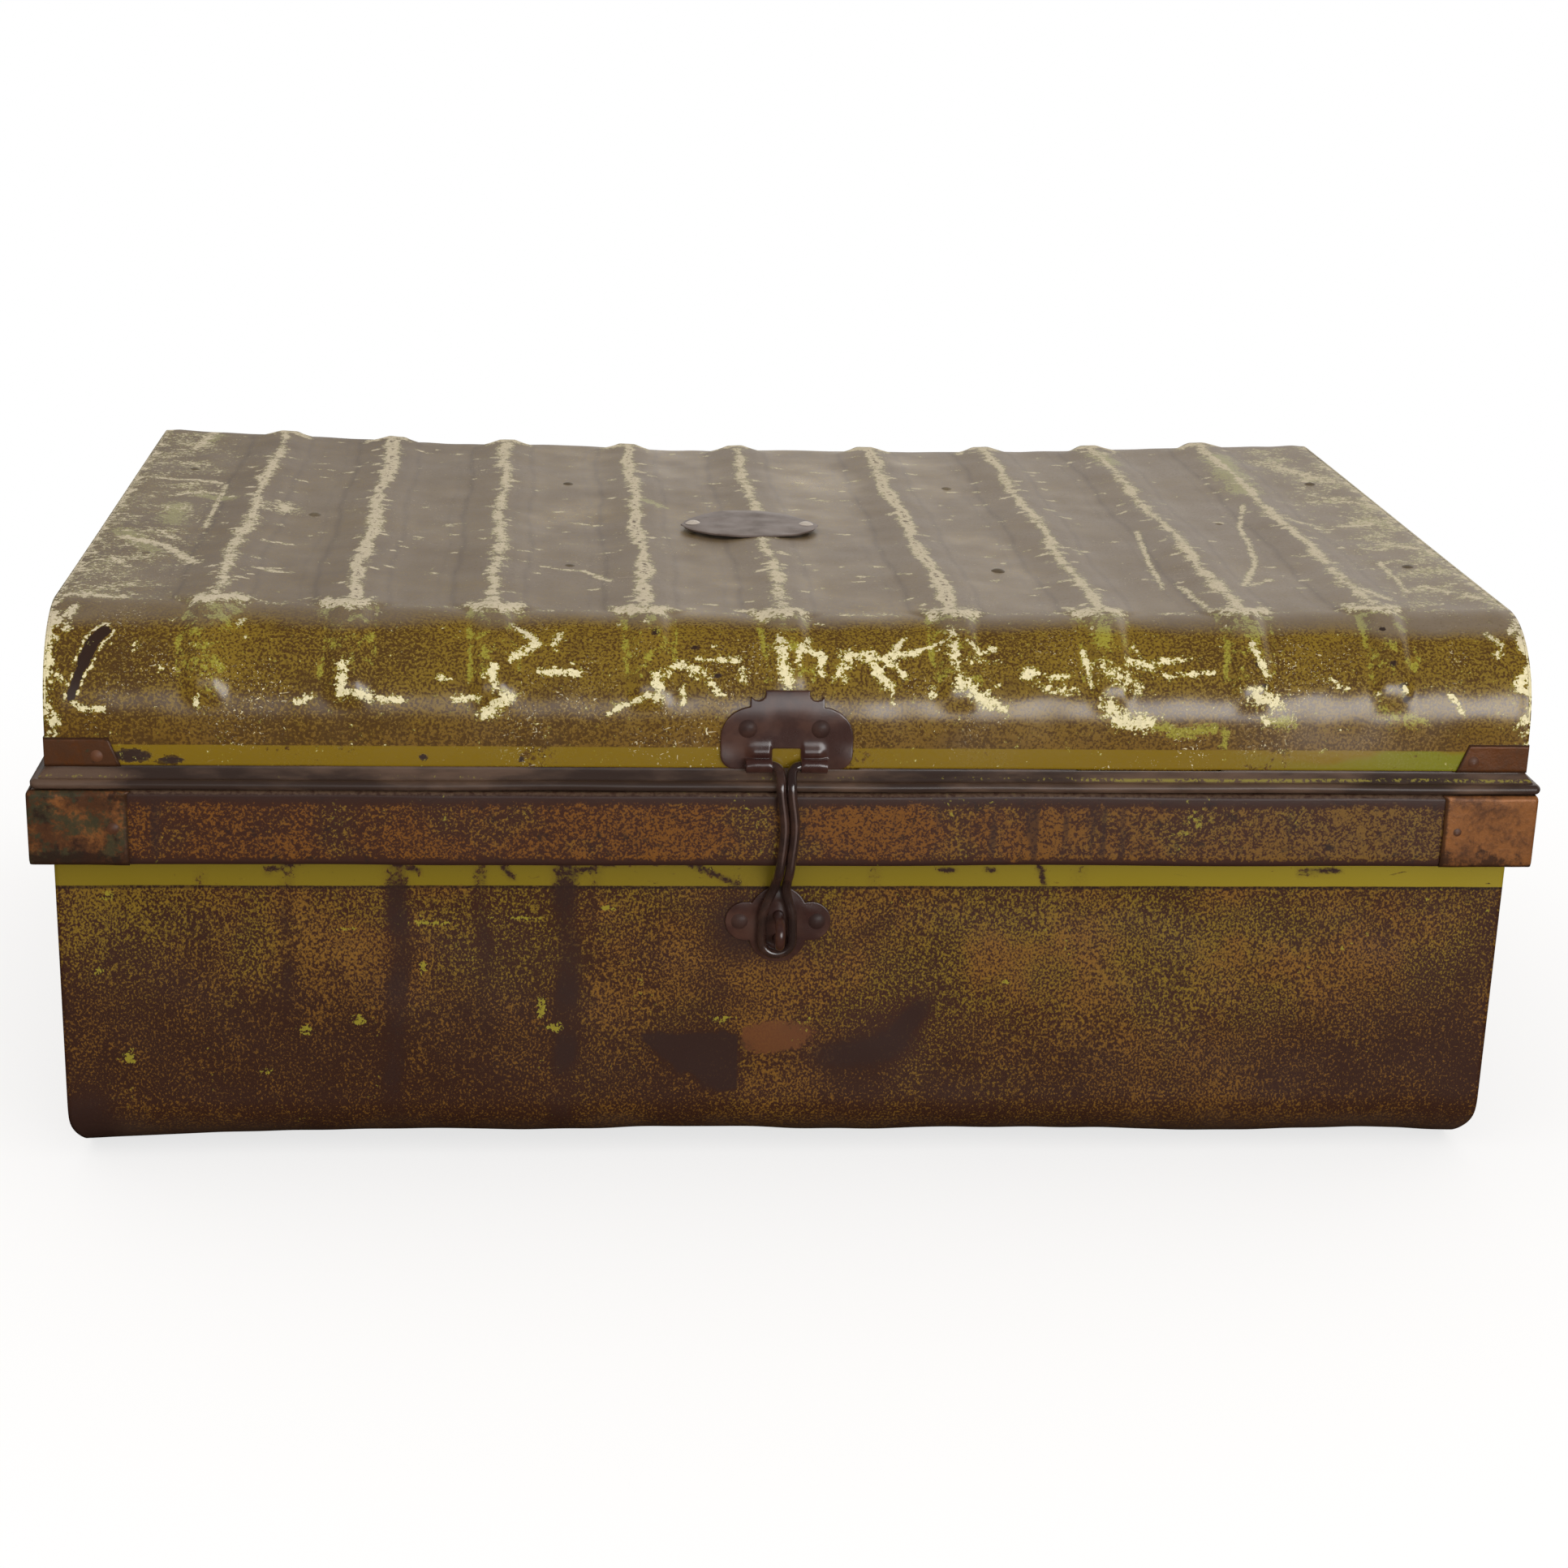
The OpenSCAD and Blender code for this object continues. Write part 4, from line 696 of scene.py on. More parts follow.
def lidWear(x, run, edgeRun, total):
    chance = np.random.default_rng(11)
    inward = np.minimum(run, total - run)
    wear, rub, fold = np.zeros(x.shape), np.zeros(x.shape), np.zeros(x.shape)
    onRoof = step(inward, edgeRun[1] - 6, edgeRun[1] + 4)
    arc = step(inward, edgeRun[0] + 16, edgeRun[0] + 24)
    for k, place in enumerate(lid["ribs"]):
        # along the crest of the rib
        off = x - place + 1.2 * np.sin(run / 23 + k) + 0.5 * np.sin(run / 6.5 + 2 * k)
        broadness = 6.6 - 1.6 * run / total + 1.3 * ripple(run, 0, 60, 20 + k)
        broadness = broadness + ripple(run, x, 13, 90 + k)
        along = 0.9 + 0.16 * ripple(run, 0, 34, 40 + k) + 0.14 * ripple(run, 0, 9, 140 + k)
        crest = np.clip(1 - np.abs(off) / np.maximum(broadness, 2), 0, 1)
        core = 1.35 if k in (1, 3, 5) else 1.0    # some are worn through to the sheet
        wear = np.maximum(wear, crest * along * core * onRoof)
        rub = np.maximum(rub, crest ** 0.6 * (0.32 + 0.3 * ripple(run, 0, 55, 160 + k)) * onRoof)
        # the end of the crest, where the roof turns down
        cap = np.clip(1.3 - np.abs(inward - edgeRun[1] + 4 - 0.03 * off ** 2
                                   + 2.0 * ripple(x, 0, 11, 220 + k)) / 8, 0, 1)
        ends = step(-np.abs(off + chance.uniform(-4, 4)), -18, -9)
        wear = np.maximum(wear, cap * ends * (0.8 + 0.16 * ripple(x, run, 9, k)))
        rub = np.maximum(rub, np.exp(-((inward - edgeRun[1] + 8) / 7) ** 2) * ends * 0.58)
        # both flanks and the middle of the rib on the rounded edge
        sides = np.exp(-((off + 11) / 1.8) ** 2) + 0.6 * np.exp(-((off - 11) / 1.6) ** 2)
        rub = np.maximum(rub, sides * (1 - onRoof) * arc * (0.66 + 0.3 * ripple(run, x, 24, 60 + k)))
        tongue = (1 - onRoof) * arc * step(-np.abs(off), -13, -9)
        rub = np.maximum(rub, tongue * (0.32 + 0.2 * ripple(x, run, 14, 180 + k)))
        # painted shade in the folds beside the rib, strongest on its left side
        for at, width, much in ((-18, 1.3, 0.9), (15, 1.3, 0.7), (-25, 1.0, 0.4), (8, 2.4, 0.3)):
            fold = np.maximum(fold, np.exp(-((off - at) / width) ** 2) * much * onRoof)
        for _ in range(16):    # hairs of bare cream that cross the crest
            at = (place + chance.uniform(-7, 7), chance.uniform(edgeRun[1] + 6, total - edgeRun[1]))
            hair = spot(x, run, at, (chance.uniform(2, 6), 1.7), chance.uniform(-25, 25))
            wear = np.maximum(wear, hair * chance.uniform(0.75, 1.05))
    # the seams, the roof near its ends, and the front edge
    ends = np.abs(x)
    seam = step(ends + 2 * ripple(run, x, 20, 240), 321, 329)
    much = 0.66 + 0.16 * ripple(run, 0, 40, 5) + 0.2 * ripple(run, x, 11, 6)
    wear = np.maximum(wear, seam * much)
    patch = step(ends, 260, 310) * onRoof * (0.34 + 0.16 * ripple(x, run, 40, 8))
    wear = np.maximum(wear, patch)
    rub = np.maximum(rub, patch * 1.3)
    brow = np.exp(-((run - edgeRun[1]) / 3) ** 2) * (0.3 + 0.14 * ripple(x, run, 30, 9))
    wear = np.maximum(wear, brow)
    for _ in range(420):    # small chips
        at = np.array([chance.uniform(-326, 326), chance.uniform(edgeRun[0] + 8, total - 90)])
        flat = at[1] > edgeRun[1]
        if flat:
            size = (chance.uniform(1.5, 5.5), 1.7)
        else:
            size = (chance.uniform(1.0, 3.0), chance.uniform(0.9, 1.8))
        near = (np.abs(x - at[0]) < 14) & (np.abs(run - at[1]) < 14)
        blot = spot(x[near], run[near], at, size, chance.uniform(-30, 30) * (1 if flat else 3))
        wear[near] = np.maximum(wear[near], blot * chance.uniform(0.5, 0.85 + 0.15 * flat))
    wear = mark(mark(wear, x, run, frontScrapes), x, run, roofScrapes, total / 2)
    rub = mark(mark(rub, x, run, frontRubs), x, run, roofRubs, total / 2)
    return wear, rub, fold


# Marks near the left end and low on the front, at (x, distance up from the foot)
lidMarks = {
    "gash": ([(-318, 31), (-313, 46)], [(-313, 46), (-309, 57), (-305, 62)]),
    "gashWidths": (3.6, 5.4),
    "dents": [(-65, 66), (-48, 60), (-38, 45), (205, 50), (207, 40), (264, 68), (266, 50), (270, 40),
              (272, 34)],
    "rust": [((-293, 5), (13, 4.5)), ((-276, 3), (9, 2.4)), ((-167, 5), (3, 2.4)),
             ((-124, 4), (2.4, 2))],    # places and half sizes
}


def lidShell():
    half, top = lid["half"], lid["top"]
    y, z, ny, nz, run = archLine(half[1], lid["foot"], top, lid["edge"], lid["spacing"])
    x = np.linspace(-half[0], half[0], lid["columns"])
    x, run = np.meshgrid(x, run)
    total = run.max()
    wallRun = top - lid["edge"] - lid["foot"]
    edgeRun = (wallRun, wallRun + lid["edge"] * math.pi / 2)
    push = ribShape(x, run, edgeRun, total)
    inside = step(half[0] - np.abs(x), 0, 26)
    calm = step(np.minimum(run, total - run), 0, 30)
    push -= lid["dent"] * (0.8 + ripple(x, run, 120, 3)) * inside * calm
    push -= 0.12 * (1 + ripple(x, run, 34, 4)) * inside * calm
    push -= 0.7 * step(np.abs(x), 322, 330) * step(np.minimum(run, total - run), 12, 30)
    grid = np.stack([x, y[:, None] + ny[:, None] * push, z[:, None] + nz[:, None] * push], 2)
    grid[..., 2] -= roofDrop(x, y[:, None]) * step(grid[..., 2], lid["foot"] + 14, top)
    grid[..., 0] += lid["shift"]
    item = gridMesh("lidShell", grid)
    wear, rub, fold = lidWear(x, run, edgeRun, total)
    # a gash near the left end with its paint torn up round it
    gash = np.maximum(*(stroke(x, run, points, width)
                        for points, width in zip(lidMarks["gash"], lidMarks["gashWidths"])))
    wear = np.maximum(wear, step(gash, 0.0, 0.3) * 0.8)
    wear = wear * (1 - step(gash, 0.35, 0.5))
    stain = step(gash, 0.3, 0.6)
    for place in lidMarks["dents"]:
        stain = np.maximum(stain, spot(x, run, place, (3.2, 2.2), 20) * 0.9)
    for place, size in lidMarks["rust"]:
        stain = np.maximum(stain, spot(x, run, place, size) * 0.95)
    keep(item, wear=wear, rub=rub, stain=stain, fold=fold)
    return fit(item, "lid", [finishes["lid"], finishes["inside"]], lid["sheet"],
               ["lid_wrap"])


def endPanel(name, side, halfY, foot, top, radius, at, bulge, seed):    # for the tub, foot is its mouth
    up = 1 if top > foot else -1
    levels = np.linspace(0, abs(top - foot), 44)
    over = np.clip(levels - (abs(top - foot) - radius), 0, radius)
    width = halfY - radius + np.sqrt(np.maximum(radius ** 2 - over ** 2, 0))
    t = np.linspace(-1, 1, 150)
    y = width[:, None] * t[None, :]
    z = (foot + up * levels)[:, None] + 0 * t[None, :]
    fromEdge = np.minimum(levels - 2, np.abs(top - foot) - levels)
    calm = np.minimum(step(1 - np.abs(t), 0, 0.12)[None, :], step(fromEdge, 0, 25)[:, None])
    x = side * (at - bulge * calm * (0.8 + ripple(y, z, 110, seed)))
    if up > 0:
        z = z - roofDrop(np.full(y.shape, at), y) * step(z, foot + 14, top)
        x = x + lid["shift"]
    else:
        x = x - side * step(-z, -tub["tuckHeight"], 0) ** 2 * tub["tuck"][(side + 1) // 2]
    item = gridMesh(name, np.stack([x, y, z], 2))
    wear = 0.3 + 0.2 * ripple(y, z, 50, seed + 1)
    edge = np.minimum(width[:, None] - np.abs(y), np.abs(top - z))
    wear = np.maximum(wear * 0.8, 0.75 * (1 - step(edge, 0, 6)))
    none = 0 * wear
    keep(item, wear=wear, stain=none, warm=none, fold=none, rub=0.3 * wear, dark=0.5 + none)
    return item


def bothEnds(body, sizes, foot, top, inset, bulge, seed):
    for side, word in ((-1, "left"), (1, "right")):
        item = endPanel(body + "End" + word.title(), side, sizes["half"][1] - 0.5, foot, top,
                        sizes["edge"] - 0.5, sizes["half"][0] - inset, bulge, seed + side)
        fit(item, body, [finishes[body], finishes["inside"]], sizes["sheet"],
            [body + "_end_" + word])


def sideStrip(name, side, half, section, corner, spacing, wobble, seed, shift=0.0):
    # One side's length of a rolled or folded edge that runs round the plan.
    # section holds (out, z) pairs; beyond corner the section turns round an arc.
    turn = {"right": 0, "back": 90, "left": 180, "front": 270}[side]
    n = np.array([math.cos(math.radians(turn)), math.sin(math.radians(turn))])
    a = np.array([-n[1], n[0]])
    halfN, halfA = half if side in ("left", "right") else half[::-1]
    out = np.array([s[0] for s in section])[:, None]
    z = np.array([s[1] for s in section])[:, None]
    core = np.minimum(out, corner)
    arc = np.radians(np.linspace(0, 45, 6))
    straight = np.linspace(-1, 1, max(2, round(2 * halfA / spacing)))
    t = np.concatenate([-np.ones(5), straight, np.ones(5)])
    theta = np.concatenate([-arc[:0:-1], np.zeros(straight.size), arc[1:]])
    sway = wobble * ripple(t * halfA, 0, 90, seed) * (1 - t ** 8)
    lift = wobble * ripple(t * halfA, 0, 130, seed + 1) * (1 - t ** 8)
    share = np.clip(out / max(out.max(), 1e-6), 0, 1)
    r = out - core
    alongN = halfN + core + r * np.cos(theta)[None, :] + sway[None, :] * share
    alongA = t[None, :] * (halfA + core) + r * np.sin(theta)[None, :]
    zz = z + lift[None, :] * share
    grid = np.stack([n[0] * alongN + a[0] * alongA + shift, n[1] * alongN + a[1] * alongA, zz], 2)
    middle = (out.max() / 2, (z.max() + z.min()) / 2)
    return gridMesh(name, grid, (n[0] * (halfN + middle[0]), n[1] * (halfN + middle[0]), middle[1]))


rim = {
    "beadOut": 4.25,    # centre of the rolled bead outside the wall
    "beadHeight": 182.55,
    "beadRadius": 2.25,
    "corner": 3.6,      # the section turns round an arc beyond this far out
    "wobble": 0.22,
    "sheet": 0.5,
}


def rimSection():
    flare = ((0, 0.6), (0, 0), (0.35, -0.8), (1.5, -2.25), (2.7, -3.75))
    section = [(out, lid["foot"] + up) for out, up in flare]
    for angle in range(118, -215, -18):
        a = math.radians(angle)
        section.append((rim["beadOut"] + rim["beadRadius"] * math.cos(a),
                        rim["beadHeight"] + rim["beadRadius"] * math.sin(a)))
    return section


def lidRim():
    for k, side in enumerate(("front", "right", "back", "left")):
        item = sideStrip("rim" + side.title(), side, lid["half"], rimSection(), rim["corner"],
                         4, rim["wobble"], 70 + 2 * k, lid["shift"])
        fit(item, "lid", [finishes["rim"]], rim["sheet"])


lidShell()
bothEnds("lid", lid, lid["foot"], lid["top"] - 0.6, 0.45, 0.8, 20)
lidRim()
print("lid made")


# Tub and collar

tub = {
    "half": (327.8, 226.3),
    "mouth": 194.0,
    "edge": 28.0,
    "sheet": 0.8,
    "dent": 0.7,
    "bow": 3.4,             # how far the bottom has risen between its ends
    "tuck": (5.5, 6.0),     # how far the bottom corners have been knocked in
    "tuckHeight": 24.0,
    "spacing": (2.4, 2.0, 9.0),
    "columns": 300,
}
# Marks on the front of the tub, at (x, height)
tubMarks = {
    "drips": [    # x, half width, from and to in height, strength
        (-264, 3.0, 40, 145, 0.35), (-226, 3.2, 60, 150, 0.55), (-179, 6.0, 10, 150, 0.75),
        (-140, 3.6, 40, 150, 0.5), (-103, 6.5, 10, 150, 0.72), (-92, 3.5, 90, 150, 0.5),
        (34, 3.0, 100, 150, 0.3), (128, 4.0, 110, 150, 0.3),
    ],
    "smudges": [    # place, half sizes, turn, strength
        ((-24, 112), (17, 20), 0, 0.85), ((-4, 100), (26, 18), 0, 0.5), ((-30, 84), (30, 8), -30, 0.4),
        ((36, 112), (16, 5), 35, 0.5), ((54, 70), (22, 8), 30, 0.5), ((-322, 14), (22, 20), 30, 1.0),
        ((-329, 70), (6, 60), 0, 0.5), ((-60, 84), (8, 22), 0, 0.35),
    ],
    "chips": [    # place, half sizes
        ((-84.7, 122), (7, 3)), ((-113.7, 73.5), (4, 9)), ((-219.9, 63), (5, 5)), ((-299, 50), (5, 7)),
        ((-237.5, 43), (6, 3)), ((-32, 68), (11, 2.6)), ((-167, 93), (3, 7)), ((99, 86), (4, 3)),
        ((-108, 64), (8, 4)), ((-196, 68), (6, 5)), ((-311, 92), (4, 4)), ((-305, 128), (7, 4)),
    ],
    "scratches": [
        ((304, 134), (236, 90)), ((46, 131), (52, 123)), ((26, 97), (11, 91)), ((-118, 44), (-66, 44)),
        ((-206, 112), (-110, 118)),
    ],
    "cracks": [    # dark lines on the painted stripe
        ((-235, 140), (-222, 145), (-205, 147)), ((-100, 139), (-80, 145), (-50, 145), (-26, 134)),
        ((-135, 148), (-127, 137)), ((-190, 148), (-168, 140)), ((66, 141), (72, 141)),
        ((110, 147), (114, 134)), ((232, 140), (250, 141)), ((88, 141), (90, 141)),
    ],
}
collar = {
    "foot": 146.0,
    "top": 180.0,
    "out": 8.7,
    "shoulder": 2.5,
    "corner": 7.2,
    "wobble": 0.25,
}


def tubFields(x, y, z):
    front = y < -150
    wear = np.where(front, 0.215 + 0.09 * ripple(x, z, 50, 31), 0.2)
    stain = np.zeros(x.shape)
    for place, width, low, high, strength in tubMarks["drips"]:
        wavy = place + 1.8 * np.sin(z / 23 + place) + 0.8 * np.sin(z / 7)
        drip = np.exp(-((x - wavy) / width) ** 4)
        drip = drip * step(z, low - 20, low + 20) * step(-z, -high, -high + 10)
        broken = 0.92 + 0.2 * ripple(z, 0, 26, int(-place) % 50)
        stain = np.maximum(stain, drip * strength * broken * front)
    for at, size, turn, strength in tubMarks["smudges"]:
        stain = np.maximum(stain, spot(x, z, at, size, turn) * strength * front)
    # a smile-shaped smear where a swinging tag has rubbed below the lock
    far = np.hypot((x + 3) / 69, (z - 80) / 52) + 0.03 * ripple(x, z, 14, 36)
    smear = step(-far, -1.06, -0.94) * step(-z + ripple(x, z, 9, 37), -64, -59)
    stain = np.maximum(stain, smear * step(-x, 22.5, 24) * 1.2 * front)
    smear = spot(x, z, (32, 51), (27, 9), 6) + spot(x, z, (56, 68), (16, 7), 50)
    stain = np.maximum(stain, smear * front)
    for at, size in tubMarks["chips"]:
        wear = np.maximum(wear, spot(x, z, at, size) * 0.72 * front)
    for points in tubMarks["scratches"]:
        wear = np.maximum(wear, stroke(x, z, points, 2.2) * 0.66 * front)
    for points in tubMarks["cracks"]:
        stain = np.maximum(stain, stroke(x, z, points, 2.6) * 0.95 * front)
    warm = spot(x, z, (-296, 112), (50, 36)) * front
    rust = spot(x, z, (-8, 59), (22, 9), 4) * 1.1 * step(x, -24, -22) * front
    low = step(-z, -100, -40)
    left = step(-x, 40, 180)
    dark = 0.38 + 0.46 * low + 0.3 * left * step(-z, -120, -80) + 0.25 * step(x, 200, 290)
    dark = dark + 0.2 * spot(x, z, (-62, 112), (42, 40))
    dark = dark - 0.36 * spot(x, z, (150, 100), (100, 34)) + 0.12 * ripple(x, z, 60, 35)
    return wear, stain, warm, rust, np.where(front, dark, 0.5)


def tubShell():
    half = tub["half"]
    y, z, ny, nz, run = archLine(half[1], tub["mouth"], 0.0, tub["edge"], tub["spacing"])
    x = np.linspace(-half[0], half[0], tub["columns"])
    x, run = np.meshgrid(x, run)
    total = run.max()
    inward = np.minimum(run, total - run)
    inside = step(half[0] - np.abs(x), 0, 30)
    below = step(inward, 50, 75)
    push = -tub["dent"] * (0.9 + ripple(x, run, 150, 13)) * inside * below
    push -= 0.18 * (1 + ripple(x, run, 40, 14)) * inside * below
    y2 = y[:, None] + ny[:, None] * push
    z2 = z[:, None] + nz[:, None] * push
    tuck = step(-z2, -tub["tuckHeight"], 0) ** 2
    share = np.abs(x) / half[0]
    x2 = x - np.sign(x) * share ** 8 * tuck * np.where(x < 0, tub["tuck"][0], tub["tuck"][1])
    bow = tub["bow"] * (1 - share ** 3) * (1 - 0.45 * step(x, -80, 140)) * step(-z2, -40, 0)
    z2 = np.maximum(z2 + bow, 0.05)
    item = gridMesh("tubShell", np.stack([x2, y2, z2], 2))
    wear, stain, warm, rust, dark = tubFields(x, y2, z2)
    keep(item, wear=wear, stain=stain, warm=warm, rust=rust, dark=dark)
    return fit(item, "tub", [finishes["tub"], finishes["inside"]], tub["sheet"],
               ["tub_wrap"])


def collarSection(grow=0.0):
    out, top, r = collar["out"] + grow, collar["top"] + grow, collar["shoulder"] + grow
    foot = collar["foot"]
    section = [(0, top), ((out - r) * 0.5, top)]
    for angle in range(90, -1, -15):
        a = math.radians(angle)
        section.append((out - r + r * math.cos(a), top - r + r * math.sin(a)))
    for share in (0.1, 0.25, 0.45, 0.65, 0.82, 0.94):
        section.append((out, top - r - (top - r - foot) * share))
    section += [(out - 0.25, foot + 0.15), (out - 0.9, foot), (0, foot)]
    return section


def tubCollar():
    for k, side in enumerate(("front", "right", "back", "left")):
        item = sideStrip("collar" + side.title(), side, tub["half"], collarSection(),
                         collar["corner"], 3, collar["wobble"], 90 + 2 * k)
        fit(item, "tub", [finishes["band"]], 0.0, ["collar_" + side])


tubShell()
bothEnds("tub", tub, tub["mouth"], 0.5, 0.5, 0.3, 33)
tubCollar()
print("tub made")


# Corner pieces

cornerPieces = {
    "collarWidth": 43.5,
    "collarCurl": 0.5,    # how far the free edges stand off
    "lidWidth": 33.0,
    "lidHeight": 13.0,
    "lidSlant": 5.0,      # how much narrower they are at the top
    "lidCurl": 0.25,
    "sheet": 0.6,
}


def cornerPlate(name, signs, half, section, corner, widths, curl, seed, shift=0.0):
    # A plate folded round one corner of the plan, with its width for each row of the section
    arc = np.radians(np.linspace(90, 0, 9))
    columns = 22
    ease = np.linspace(0, 1, columns)[:-1]
    rows = []
    for k, (out, z) in enumerate(section):
        core = min(out, corner)
        r = out - core
        run = widths[k] - r
        u = run * (1 - ease)
        lift = curl * step(u / run, 0.55, 1) * (1 + 0.8 * math.sin(k * 0.7 + seed))
        lift = lift + 0.12 * ripple(u, k, 16, seed)
        first = [(half[0] + core - a, half[1] + core + r + b, z) for a, b in zip(u, lift)]
        bend = [(half[0] + core + r * math.cos(t), half[1] + core + r * math.sin(t), z) for t in arc]
        last = [(half[0] + core + r + b, half[1] + core - a, z)
                for a, b in zip(u[::-1], lift[::-1])]
        rows.append(first + bend + last)
    grid = np.array(rows)
    grid[..., 0] = grid[..., 0] * signs[0] + shift
    grid[..., 1] *= signs[1]
    middle = (signs[0] * (half[0] - 20), signs[1] * (half[1] - 20), grid[..., 2].mean())
    edge = np.zeros(grid.shape[:2])
    edge[:, [0, -1]] = edge[[0, -1], :] = 1
    edge[:, [1, -2]] = np.maximum(edge[:, [1, -2]], 0.4)
    item = gridMesh(name, grid, middle)
    keep(item, edge=edge)
    return item


def allCorners():
    grow = cornerPieces["sheet"]
    folded = collarSection(grow)[4:-2]
    shares = np.linspace(0, 1, 9)
    lidRows = [(grow, lid["foot"] + 0.1 + cornerPieces["lidHeight"] * k) for k in shares]
    slanted = [cornerPieces["lidWidth"] - cornerPieces["lidSlant"] * k for k in shares]
    plain = [cornerPieces["collarWidth"]] * len(folded)
    count = 0
    for yWord, ySign in (("front", -1), ("back", 1)):
        for xWord, xSign in (("left", -1), ("right", 1)):
            count += 1
            word, signs = yWord.title() + xWord.title(), (xSign, ySign)
            item = cornerPlate("collarCorner" + word, signs, tub["half"], folded,
                               collar["corner"], plain, cornerPieces["collarCurl"], count)
            fit(item, "tub", [finishes["collarCopper"]], grow,
                ["collar_corner_%s_%s" % (yWord, xWord)])
            item = cornerPlate("lidCorner" + word, signs, lid["half"], lidRows, 0.0, slanted,
                               cornerPieces["lidCurl"], count + 4, lid["shift"])
            fit(item, "lid", [finishes["lidCopper"]], grow,
                ["lid_corner_%s_%s" % (yWord, xWord)])


allCorners()
print("corner pieces made")


# Pieces that follow the sunken roof

def settled(name, node, body, finish, shift, cuts=()):
    mesh = nodes[node].data.copy()
    made = bmesh.new()
    made.from_mesh(mesh)
    for x in cuts:
        parts = made.verts[:] + made.edges[:] + made.faces[:]
        bmesh.ops.bisect_plane(made, geom=parts, plane_co=(x * mm, 0, 0), plane_no=(1, 0, 0))
    for vert in made.verts:
        x, y = vert.co.x / mm, vert.co.y / mm
        vert.co.z -= float(shift(x, y)) * mm
        vert.co.x += lid["shift"] * mm
    made.to_mesh(mesh)
    made.free()
    mesh.materials.clear()
    return fit(added(name, mesh), body, [finish], 0.0, [node])


roofIron = {
    "settle": 0.9,    # the straps and rivets lie this much lower than the roof has sunk
    "cut": 20,        # the straps are cut at this spacing, to bend
}
namePlate = {
    "middle": (-11.0, -18.0),
    "half": (35.0, 29.0),    # half length, and half width at the middle
    "bow": 1.3,              # how far its ends have been drawn down
    "sheet": 0.8,
}


def plateDrop(x, y):    # the plate and its rivets lie on a rib of the sunken roof
    off = (x - namePlate["middle"][0]) / namePlate["half"][0]
    return roofDrop(*namePlate["middle"]) + namePlate["bow"] * off ** 2


def ironDrop(x, y):
    return roofDrop(x, y) + roofIron["settle"]


def roofPieces():
    cuts = range(-320, 321, roofIron["cut"])
    for word in ("front", "middle", "back"):
        settled("roofStrap" + word.title(), "roof_strap_" + word, "lid", finishes["inside"],
                ironDrop, cuts)
    settled("roofRivets", "roof_rivets", "lid", finishes["roofRivet"], ironDrop)
    settled("namePlateRivets", "name_plate_rivets", "lid", finishes["rubbed"],
            plateDrop)
    (cx, cy), (a, b) = namePlate["middle"], namePlate["half"]
    radius = (a * a + b * b) / (2 * b)
    t = np.sin(np.linspace(-1, 1, 61) * math.pi / 2)
    v = np.linspace(-1, 1, 33)[:, None]
    width = np.sqrt(radius ** 2 - (a * t) ** 2) - (radius - b)
    x = cx + a * t[None, :] + 0 * v
    y = cy + v * np.maximum(width, 0.3)[None, :]
    z = lid["top"] + 3 + namePlate["sheet"] - plateDrop(x, y)
    z = z + 0.15 * ripple(x, y, 22, 51) - 0.5 * v ** 4
    item = gridMesh("namePlate", np.stack([x + lid["shift"], y, z], 2), (cx, cy, 200))
    fit(item, "lid", [finishes["plate"]], namePlate["sheet"], ["name_plate"])
    edge = item.modifiers.new("edge", "BEVEL")
    edge.width, edge.segments = 0.25 * mm, 2


roofPieces()
print("roof pieces made")


# Lock

def tube(name, path, radius):    # a rod along a path
    path = [Vector(p) for p in path]
    count, sides = len(path), lock["sides"]
    points = []
    across = None
    for k in range(count):
        ahead = (path[min(k + 1, count - 1)] - path[max(k - 1, 0)]).normalized()
        if across is None:
            across = ahead.orthogonal().normalized()
        across = (across - ahead * across.dot(ahead)).normalized()
        other = ahead.cross(across)
        for m in range(sides):
            t = 2 * math.pi * m / sides
            points.append((path[k] + (across * math.cos(t) + other * math.sin(t)) * radius) * mm)
    faces = []
    for k in range(count - 1):
        for m in range(sides):
            a, b = k * sides + m, k * sides + (m + 1) % sides
            faces.append((a, b, b + sides, a + sides))
    faces.append(tuple(range(sides))[::-1])
    faces.append(tuple((count - 1) * sides + m for m in range(sides)))
    return makeMesh(name, points, faces)


def smoothPath(points, spacing):    # a curve through given points
    points = [np.array(p, float) for p in points]
    points = [2 * points[0] - points[1]] + points + [2 * points[-1] - points[-2]]
    path = []
    for a, b, c, d in zip(points, points[1:], points[2:], points[3:]):
        count = max(2, round(np.linalg.norm(c - b) / spacing))
        for k in range(count):
            t = k / count
            path.append(0.5 * (2 * b + (c - a) * t + (2 * a - 5 * b + 4 * c - d) * t * t
                               + (3 * b - a - 3 * c + d) * t ** 3))
    path.append(points[-2])
    return path


def lean(z):    # the wire has been bent to one side and back
    return float(1.0 + 2.2 * np.exp(-((z - 162) / 13) ** 2) - 1.6 * step(-z, -145, -125))


